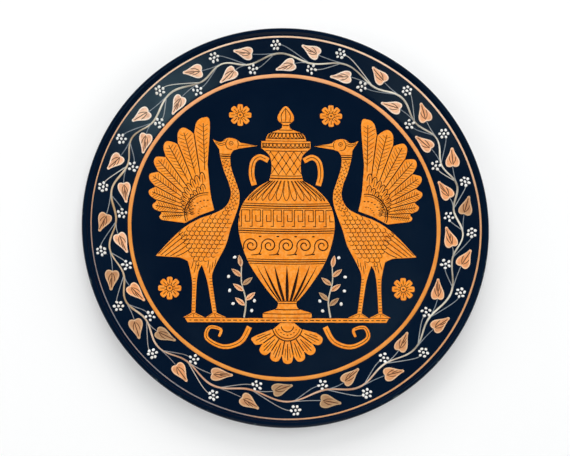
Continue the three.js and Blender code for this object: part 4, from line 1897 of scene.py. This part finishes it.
    def legs(self, work: Brushwork, side: int) -> None:
        """Draws the feathered thighs, the scaled shins and the toes.

        Args:
            work: The picture's paints.
            side: 1, or -1 to mirror it.
        """
        for x, y, lean in (
            (41.2, -20.5, 0.4), (43.0, -22.5, 0.3), (44.7, -24.6, 0.2), (45.6, -21.6, 0.2),
            (51.2, -22.6, 0.4), (53.0, -24.4, 0.4), (54.4, -22.0, 0.5),
        ):
            path = curve(drawn((x, y), (x + lean, y - 2.2), (x + lean * 2.4, y - 4.4)), 3)
            work.line(path, 0.34, side, 0.3)
        for top, foot in (((44.3, -32.2), (42.1, -51.0)), ((53.9, -32.2), (54.3, -51.0))):
            a, b = Vector(top), Vector(foot)
            for i in range(12):
                spot = a + (b - a) * i / 11
                work.line([spot - Vector((0.7, 0.12)), spot + Vector((0.7, -0.12))], 0.26, side, 0.8)
        g = self.ground
        for root, lift, tip in (
            (42.0, 2.2, 37.4), (42.3, 2.0, 41.6), (42.8, 2.2, 45.8), (54.0, 2.2, 50.0),
            (54.3, 2.0, 54.2), (54.6, 2.2, 58.2),
        ):
            work.line(drawn((root, g + lift), (tip, g + 0.35)), 0.3, side, 0.6)

    def wing(self, work: Brushwork, wing: Path, side: int) -> None:
        """Draws the flight feathers, two rows of coverts and the shoulder of the wing.

        Args:
            work: The picture's paints.
            wing: Outline of the wing.
            side: 1, or -1 to mirror it.
        """
        centre, start = Vector(self.shoulder), self.first_feather
        sweep = start - self.last_feather
        pitch = -sweep / (self.feathers - 1)
        for i in range(self.feathers):
            degrees, long = start + i * pitch, self.reach(i)
            if i < self.feathers - 1:
                edge = ray(centre, long, degrees + pitch / 2, (0.42, 0.5, 0.6, 0.7, 0.8, 0.835))
                work.line(curve(edge, 3), 0.56, side, 0.7)
            quill = ray(centre, long, degrees, (0.46, 0.6, 0.75, 0.94))
            work.within(wing, curve(quill, 4), 0.42, side)
            for step in range(9):
                share = 0.53 + 0.047 * step
                for lean in (-1, 1):
                    base = centre + polar(long * share, degrees + lean * 0.5)
                    tip = centre + polar(long * (share + 0.05), degrees + lean * abs(pitch) * 0.36)
                    work.within(wing, [base, (base + tip) / 2, tip], 0.24, side)
        for radius, count in ((0.43, 11), (0.31, 9)):
            step = sweep / count
            for i in range(count):
                turn = start - step * (i + 0.5)
                long = (self.feather_length - self.feather_step * (start - turn) / -pitch) * radius
                shares = ((0.86, 0.5), (0.97, 0.36), (1.03, 0.0), (0.97, -0.36), (0.86, -0.5))
                scale = [centre + polar(long * t, turn + step * aside) for t, aside in shares]
                work.within(wing, curve(scale, 3), 0.44, side)
                work.within(wing, ray(centre, long, turn, (0.76, 0.86, 0.96)), 0.28, side)
        for radius, width in ((12.6, 0.56), (11.4, 0.34)):
            work.within(wing, arc(centre, radius, 94, -20, 26), width, side)
        for count, radius, first, step, room, half, width in (
            (7, 8.2, 96, 15, 0.9, 0.2, 0.8), (6, 4.6, 92, 18, 0.8, 0.15, 0.6),
        ):
            for i in range(count):
                spot = centre + polar(radius, first - step * i)
                if all(inside(p, wing) for p in arc(spot, room, 0, 360, 6)):
                    work.dab(spot, half, width, side)


@dataclass
class GroundOrnament:
    """Ground line, palmette, scrolls and rosettes."""

    level: float = -55.5
    reach: float = 59.0
    thickness: float = 2.2
    bevel: float = 1.4
    waver: float = 0.09
    gap: float = 0.6
    petals: int = 7
    palmette_radius: float = 22.0
    palmette_from: float = 205.0
    palmette_to: float = 335.0
    rosette_radius: float = 6.5
    rosette_petals: int = 8
    rosettes_at: tuple[tuple[float, float], ...] = ((27, 66), (68, -38))
    beads: int = 36
    bead_width: float = 0.7
    tendril_half: float = 1.5
    tendril_thinning: float = 0.9
    tendril: tuple[tuple[float, float], ...] = (
        (22, -60.5), (27, -69), (37, -72), (46.5, -67), (45, -60.8), (38.5, -62), (39.5, -66),
    )

    def build(self, work: Brushwork) -> None:
        """Paints the ornament.

        Args:
            work: The picture's paints.
        """
        self.ground(work)
        self.palmette(work)
        for side in (-1, 1):
            self.scroll(work, side)
            for spot in self.rosettes_at:
                self.rosette(work, Vector(spot), side)

    def ground(self, work: Brushwork) -> None:
        """Paints the ground line with a row of beads.

        Args:
            work: The picture's paints.
        """
        steps, edge = 40, []
        low = self.level - self.thickness
        for reach, height in ((self.reach, self.level), (self.bevel - self.reach, low)):
            for i in range(steps + 1):
                sway = math.sin(1.9 * i + height) * math.sin(math.pi * i / steps)
                edge.append((reach * (2 * i / steps - 1), height + self.waver * sway))
        work.fill("painted_ground", drawn(*edge))
        middle = self.level - self.thickness / 2
        for i in range(self.beads):
            x = (self.reach - 3) * (2 * i / (self.beads - 1) - 1)
            wide = 0.9 if i % 3 else 0.35
            work.shape(drawn((x - wide, middle), (x + wide, middle)), (self.bead_width,) * 2)

    def palmette(self, work: Brushwork) -> None:
        """Paints the hanging palmette.

        Args:
            work: The picture's paints.
        """
        top = self.level - self.thickness - self.gap
        low = top - 3.4
        centre = (0.0, top - 1.5)
        start, sweep = self.palmette_from, self.palmette_to - self.palmette_from
        tips = fan(centre, start, start + sweep, self.petals, lambda i: self.palmette_radius, 0.78)
        outline = outline_of((-4, top), [[(-8, low)], *tips, [(8, low)], [(4, top)]])
        work.fill("painted_palmette", outline)
        heart, pitch = Vector(centre), sweep / (self.petals - 1)
        for i in range(self.petals):
            turn = start + pitch * i
            rib = ray(heart, self.palmette_radius, turn, (0.5, 0.7, 0.9))
            work.within(outline, curve(rib, 4), 0.46)
            for lean in (-0.22, 0.22):
                aside = ray(heart, self.palmette_radius, turn + lean * pitch, (0.62, 0.74, 0.84))
                work.within(outline, curve(aside, 3), 0.3)
            if i < self.petals - 1:
                edge = ray(heart, self.palmette_radius, turn + pitch / 2, (0.42, 0.6, 0.77))
                work.within(outline, curve(edge, 4), 0.6)
        for radius, width in ((8.8, 0.6), (7.4, 0.36), (3.6, 0.5)):
            work.within(outline, arc(heart, radius, 190, 350, 30), width)
        for i in range(7):
            spot = heart + polar(5.5, start + sweep * i / 6)
            work.dab(spot, 0.1, 0.7)

    def scroll(self, work: Brushwork, side: int) -> None:
        """Paints a tendril that rolls up at its end.

        Args:
            work: The picture's paints.
            side: 1, or -1 to mirror it.
        """
        path = curve(drawn(*self.tendril), 5)
        last = len(path) - 1
        halves = [self.tendril_half - self.tendril_thinning * i / last for i in range(last + 1)]
        work.fill("painted_scrolls", ribbon(path, halves), side)
        work.line(path[1:-6], 0.34, side, 0.3)

    def rosette(self, work: Brushwork, centre: Vector, side: int) -> None:
        """Paints a rosette.

        Args:
            work: The picture's paints.
            centre: Its middle.
            side: 1, or -1 to mirror it.
        """
        count, turn = self.rosette_petals, 360 / self.rosette_petals
        tips = fan((centre.x, centre.y), 0, 360 - turn, count, lambda i: self.rosette_radius, 0.55)
        work.fill("painted_rosettes", outline_of(tips[-1][-1], tips), side)
        work.line(arc(centre, 1.9, 0, 345, 16), 0.36, side, 0.9)
        work.dab(centre, 0.1, 1.3, side)
        for i in range(count):
            rib = ray(centre, self.rosette_radius, turn * i, (0.42, 0.6, 0.8))
            work.line(curve(rib, 3), 0.34, side)
            edge = ray(centre, self.rosette_radius, turn * i + turn / 2, (0.34, 0.42, 0.5))
            work.line(edge, 0.4, side)


@dataclass
class Sprig:
    """Thin branch with outlined leaves and loose white dots beside it."""

    leaf_length: float = 7.5
    leaf_half: float = 1.45
    leaf_height: float = 0.34
    leaf_rim: float = 0.42
    stem_width: float = 1.15
    stem_thinning: float = 0.45
    stem: tuple[tuple[float, float], ...] = ((25, -54.6), (24, -45), (26.5, -34), (26.4, -23.5))
    places: tuple[tuple[float, float, float], ...] = (
        (24.4, -48, 38), (24.2, -45, 140), (25.3, -39.5, 35), (25.9, -36, 142), (26.4, -31, 38),
        (26.5, -25.5, 79),
    )
    dots_at: tuple[tuple[float, float], ...] = (
        (20.6, -51), (31.4, -46.9), (33.4, -39.2), (19, -45.2), (34, -31), (30.4, -19.6),
    )
    dot_radius: float = 1.0
    dot_height: float = 0.42
    vein_width: float = 0.36
    vein_height: float = 0.05
    vein_base: float = 0.22

    def build(
        self, work: Brushwork, stems: PaintMesh, leaves: PaintMesh, veins: PaintMesh, dots: PaintMesh
    ) -> None:
        """Paints both sprigs.

        Args:
            work: The picture's paints.
            stems: Cream slip.
            leaves: Leaf slip.
            veins: Brown slip.
            dots: White slip.
        """
        rng = random.Random(23)
        for side in (-1, 1):
            path = work.fitted(curve(drawn(*self.stem), 8), side)
            last = len(path) - 1
            widths = [self.stem_width - self.stem_thinning * i / last for i in range(last + 1)]
            stems.stroke(path, widths, work.fill_height)
            for x, y, lean in self.places:
                self.leaf(work, Vector((x, y)), lean, side, leaves, veins, rng)
            for i, spot in enumerate(work.fitted(drawn(*self.dots_at), side)):
                dots.dot(spot, self.dot_radius, self.dot_height, rng.random(), 40 + 10 * i + side)

    def leaf(
        self, work: Brushwork, base: Vector, lean: float, side: int, leaves: PaintMesh,
        veins: PaintMesh, rng: random.Random,
    ) -> None:
        """Paints one leaf of a sprig.

        Args:
            work: The picture's paints.
            base: Its foot.
            lean: Direction of its tip.
            side: 1, or -1 to mirror it.
            leaves: Leaf slip.
            veins: Brown slip.
            rng: Source of its shade.
        """
        way = polar(1.0, lean)
        across = Vector((-way.y, way.x))
        half = [(0.0, 0.0), (0.16, 0.62), (0.38, 1.0), (0.64, 0.86), (0.86, 0.42), (1.0, 0.0)]

        def spot(share: float, aside: float) -> Vector:
            """Gives a point by its share of the leaf's length and of its half width."""
            return base + way * share * self.leaf_length + across * aside * self.leaf_half

        upper = curve([spot(u, v) for u, v in half], 4)
        lower = curve([spot(u, -v) for u, v in reversed(half)], 4)
        outline = work.fitted(upper[:-1] + lower[:-1], side)
        middle = work.fitted([spot(0.48, 0.0)], side)[0]
        leaves.leaf(outline, middle, self.leaf_height, self.leaf_rim, rng.uniform(0.05, 0.6))
        rib = work.fitted(curve([spot(0.2, 0.0), spot(0.5, 0.12), spot(0.82, 0.0)], 4), side)
        veins.stroke(
            rib, self.vein_width, self.vein_height, 0.4, base=self.vein_base, section=Section.FINE
        )


@dataclass
class Picture:
    """The whole picture inside the ring."""

    surface: PlateSurface
    ground_reach: float = 59.0

    def build(self, finishes: dict[str, bpy.types.Material], veins: PaintMesh) -> None:
        """Paints the picture.

        Args:
            finishes: Materials by the name of the paint.
            veins: Paint of the leaf veins.
        """
        low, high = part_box("ground_line")
        work = Brushwork(self.surface, (high.x - low.x) / MM / (2 * self.ground_reach))
        LiddedJar().build(work)
        Crane().build(work)
        GroundOrnament().build(work)
        stems, leaves, dots = (PaintMesh(self.surface) for _ in range(3))
        Sprig().build(work, stems, leaves, veins, dots)
        nodes = {
            "painted_jar": ("jar", "jar_lid", "jar_handle_left", "jar_handle_right"),
            "painted_cranes": ("crane_left", "crane_right", "crane_wing_left", "crane_wing_right"),
            "painted_ground": ("ground_line",),
            "painted_palmette": ("palmette",),
            "painted_scrolls": ("scroll_left", "scroll_right"),
            "painted_rosettes": (
                "rosette_upper_left", "rosette_upper_right", "rosette_lower_left", "rosette_lower_right",
            ),
        }
        for name, mesh in work.fills.items():
            mesh.build(name, finishes["figure"], Slot.ORANGE, *nodes[name])
        work.dark.build("dark_line_work", finishes["line"], Slot.GLAZE)
        sprigs = ("sprig_left", "sprig_right")
        stems.build("sprig_stems", finishes["cream"], Slot.CREAM, *sprigs)
        leaves.build("sprig_leaves", finishes["leaf"], Slot.COPPER, *sprigs)
        dots.build("sprig_dots", finishes["white"], Slot.CREAM)


@dataclass
class Studio:
    """Pale floor, soft lights and the camera of the photograph."""

    floor_half: float = 3.0
    floor_steps: int = 24
    room_light: float = 0.03
    distance: float = 1.0
    tilt: float = 12.45
    axis: float = -20.0
    target: tuple[float, float, float] = (-0.00125, -0.00287, 0.0155)
    scale: float = 1703.0
    image_width: float = 570.0
    floor_glow: float = 0.28

    def floor(self) -> bpy.types.Object:
        """Lays the floor.

        Returns:
            The floor, which isn't part of the object.
        """
        half, count = self.floor_half, self.floor_steps
        sheet = bmesh.new()
        spots = [[sheet.verts.new((half * (2 * i / count - 1), half * (2 * j / count - 1), 0.0))
                  for i in range(count + 1)] for j in range(count + 1)]
        for j in range(count):
            for i in range(count):
                sheet.faces.new((spots[j][i], spots[j][i + 1], spots[j + 1][i + 1], spots[j + 1][i]))
        mesh = bpy.data.meshes.new("floor")
        sheet.to_mesh(mesh)
        sheet.free()
        floor = bpy.data.objects.new("floor", mesh)
        bpy.context.scene.collection.objects.link(floor)
        s = Sheet("pale floor")
        tint = s.blend(s.noise(6.0), paint("fdfdfe"), paint("fffffe"))
        mesh.materials.append(s.finish(tint, s.span(s.noise(30.0), 0.0, 1.0, (0.85, 0.95)), 0.1))
        s.glow(self.floor_glow)
        return floor

    def light(
        self, name: str, spot: tuple[float, float, float], size: float, power: float,
        colour: tuple[float, float, float] = (1.0, 1.0, 1.0), mirrored: bool = True,
    ) -> None:
        """Hangs one soft light that faces the plate.

        Args:
            name: Name of the light.
            spot: Where it hangs, in metres.
            size: Side of its square face, in metres.
            power: Its power in watts.
            colour: Its tint.
            mirrored: Whether the glaze mirrors it.
        """
        lamp = bpy.data.lights.new(name, "AREA")
        lamp.size = size
        lamp.energy = power
        lamp.color = colour
        holder = bpy.data.objects.new(name, lamp)
        holder.location = spot
        holder.visible_glossy = mirrored
        holder.rotation_mode = "QUATERNION"
        holder.rotation_quaternion = (Vector(self.target) - Vector(spot)).to_track_quat("-Z", "Y")
        bpy.context.scene.collection.objects.link(holder)

    def lights(self) -> None:
        """Hangs all the lights and sets the dim surroundings."""
        self.light("key", (-0.1, 1.5, 1.25), 1.5, 24.0, mirrored=False)
        self.light("left fill", (-1.5, 0.1, 1.0), 1.5, 11.7, mirrored=False)
        self.light("right fill", (1.5, 0.0, 1.0), 1.5, 11.7, mirrored=False)
        self.light("front fill", (0.1, -1.6, 1.0), 1.2, 3.9)
        self.light("ceiling", (0.0, 0.0, 1.8), 1.2, 9.7, mirrored=False)
        self.light("left sheen", (0.557, 0.111, 2.41), 0.24, 1.0, (0.55, 0.92, 1.0))
        self.light("right sheen", (-0.22, 0.12, 2.41), 0.22, 0.24, (0.7, 1.0, 0.95))
        world = bpy.data.worlds.new("studio")
        world.use_nodes = True
        back = world.node_tree.nodes["Background"]
        back.inputs["Color"].default_value = (0.9, 0.95, 1.0, 1.0)
        back.inputs["Strength"].default_value = self.room_light
        bpy.context.scene.world = world

    def camera(self) -> None:
        """Sets up the camera as the photograph was taken."""
        lens = bpy.data.cameras.new("camera")
        lens.sensor_width = 36.0
        lens.lens = self.scale * self.distance * lens.sensor_width / self.image_width
        lens.clip_start = 0.01
        camera = bpy.data.objects.new("camera", lens)
        turn = math.radians(self.axis)
        lean = Quaternion((math.cos(turn), math.sin(turn), 0.0), math.radians(self.tilt))
        camera.rotation_mode = "QUATERNION"
        camera.rotation_quaternion = lean
        camera.location = Vector(self.target) + lean @ Vector((0.0, 0.0, self.distance))
        bpy.context.scene.collection.objects.link(camera)
        bpy.context.scene.camera = camera
        bpy.context.scene.view_settings.view_transform = "Standard"


def main() -> None:
    logging.basicConfig(level=logging.INFO, format="%(message)s")
    surface = PlateSurface()
    glaze, clay = GlazeFinish().material(), ClayFinish().material()
    finishes = {
        "figure": SlipFinish("orange slip", "fd9112", "ef7f0a", "ffae54", mottling=0.5).material(),
        "ring": SlipFinish("ring slip", "ee973f", "e2872d", "f4aa5e", (
            Wash("f2b488", 97.0, 0.0, 95.0, 0.75),
        )).material(),
        "stripe": SlipFinish("stripe slip", "dc9e69", "cc8c58", "f0c29c", (
            Wash("ffdabc", 85.0, 0.0, 105.0, 1.0), Wash("7c8088", 222.0, 55.0, 112.0, 1.0),
        )).material(),
        "vine": SlipFinish("vine slip", "a89c8c", "8f8474", "efe6d4", (
            Wash("c39a66", 185.0, 62.0, 104.0, 0.75), Wash("d08e66", 262.0, 55.0, 102.0, 0.8),
        ), paling=1.0).material(),
        "stalk": SlipFinish("stalk slip", "7f8c99", "66737f", "dcd6cb", (
            Wash("b5875f", 240.0, 70.0, 108.0, 0.3),
        ), paling=1.0).material(),
        "cream": SlipFinish("cream slip", "cdbfa9", "b0a18b", "efe6d4").material(),
        "white": SlipFinish("white slip", "fbf9f5", "ece6dc", "ffffff", roughness=0.4).material(),
        "leaf": LeafFinish("leaf slip").material(),
        "vein": SlipFinish("brown slip", "47210f", "36180b", "67371f").material(),
        "line": SlipFinish("dark line slip", "1a0d0a", "26120c", "30180e", roughness=0.4).material(),
    }
    ClayPlate(surface).build(glaze, clay)
    FootRing().build(clay)
    PaintedBand("edge_stripe", "outer_stripe", Slot.ORANGE, 114.8, 1.2, 0.42, 205.0, 0.06,
                shift=(0.2, -0.2)).build(surface, finishes["stripe"])
    PaintedBand("picture_ring", "tondo_ring", Slot.ORANGE, 91.4, 2.45, 0.05, 180.0, 0.05,
                shift=(-0.9, 0.0)).build(surface, finishes["ring"])
    veins = PaintMesh(surface)
    IvyWreath(surface).build(finishes, veins)
    Picture(surface).build(finishes, veins)
    veins.build("leaf_veins", finishes["vein"], Slot.COPPER)
    studio = Studio()
    studio.floor()
    studio.lights()
    studio.camera()


if __name__ == "__main__":
    main()
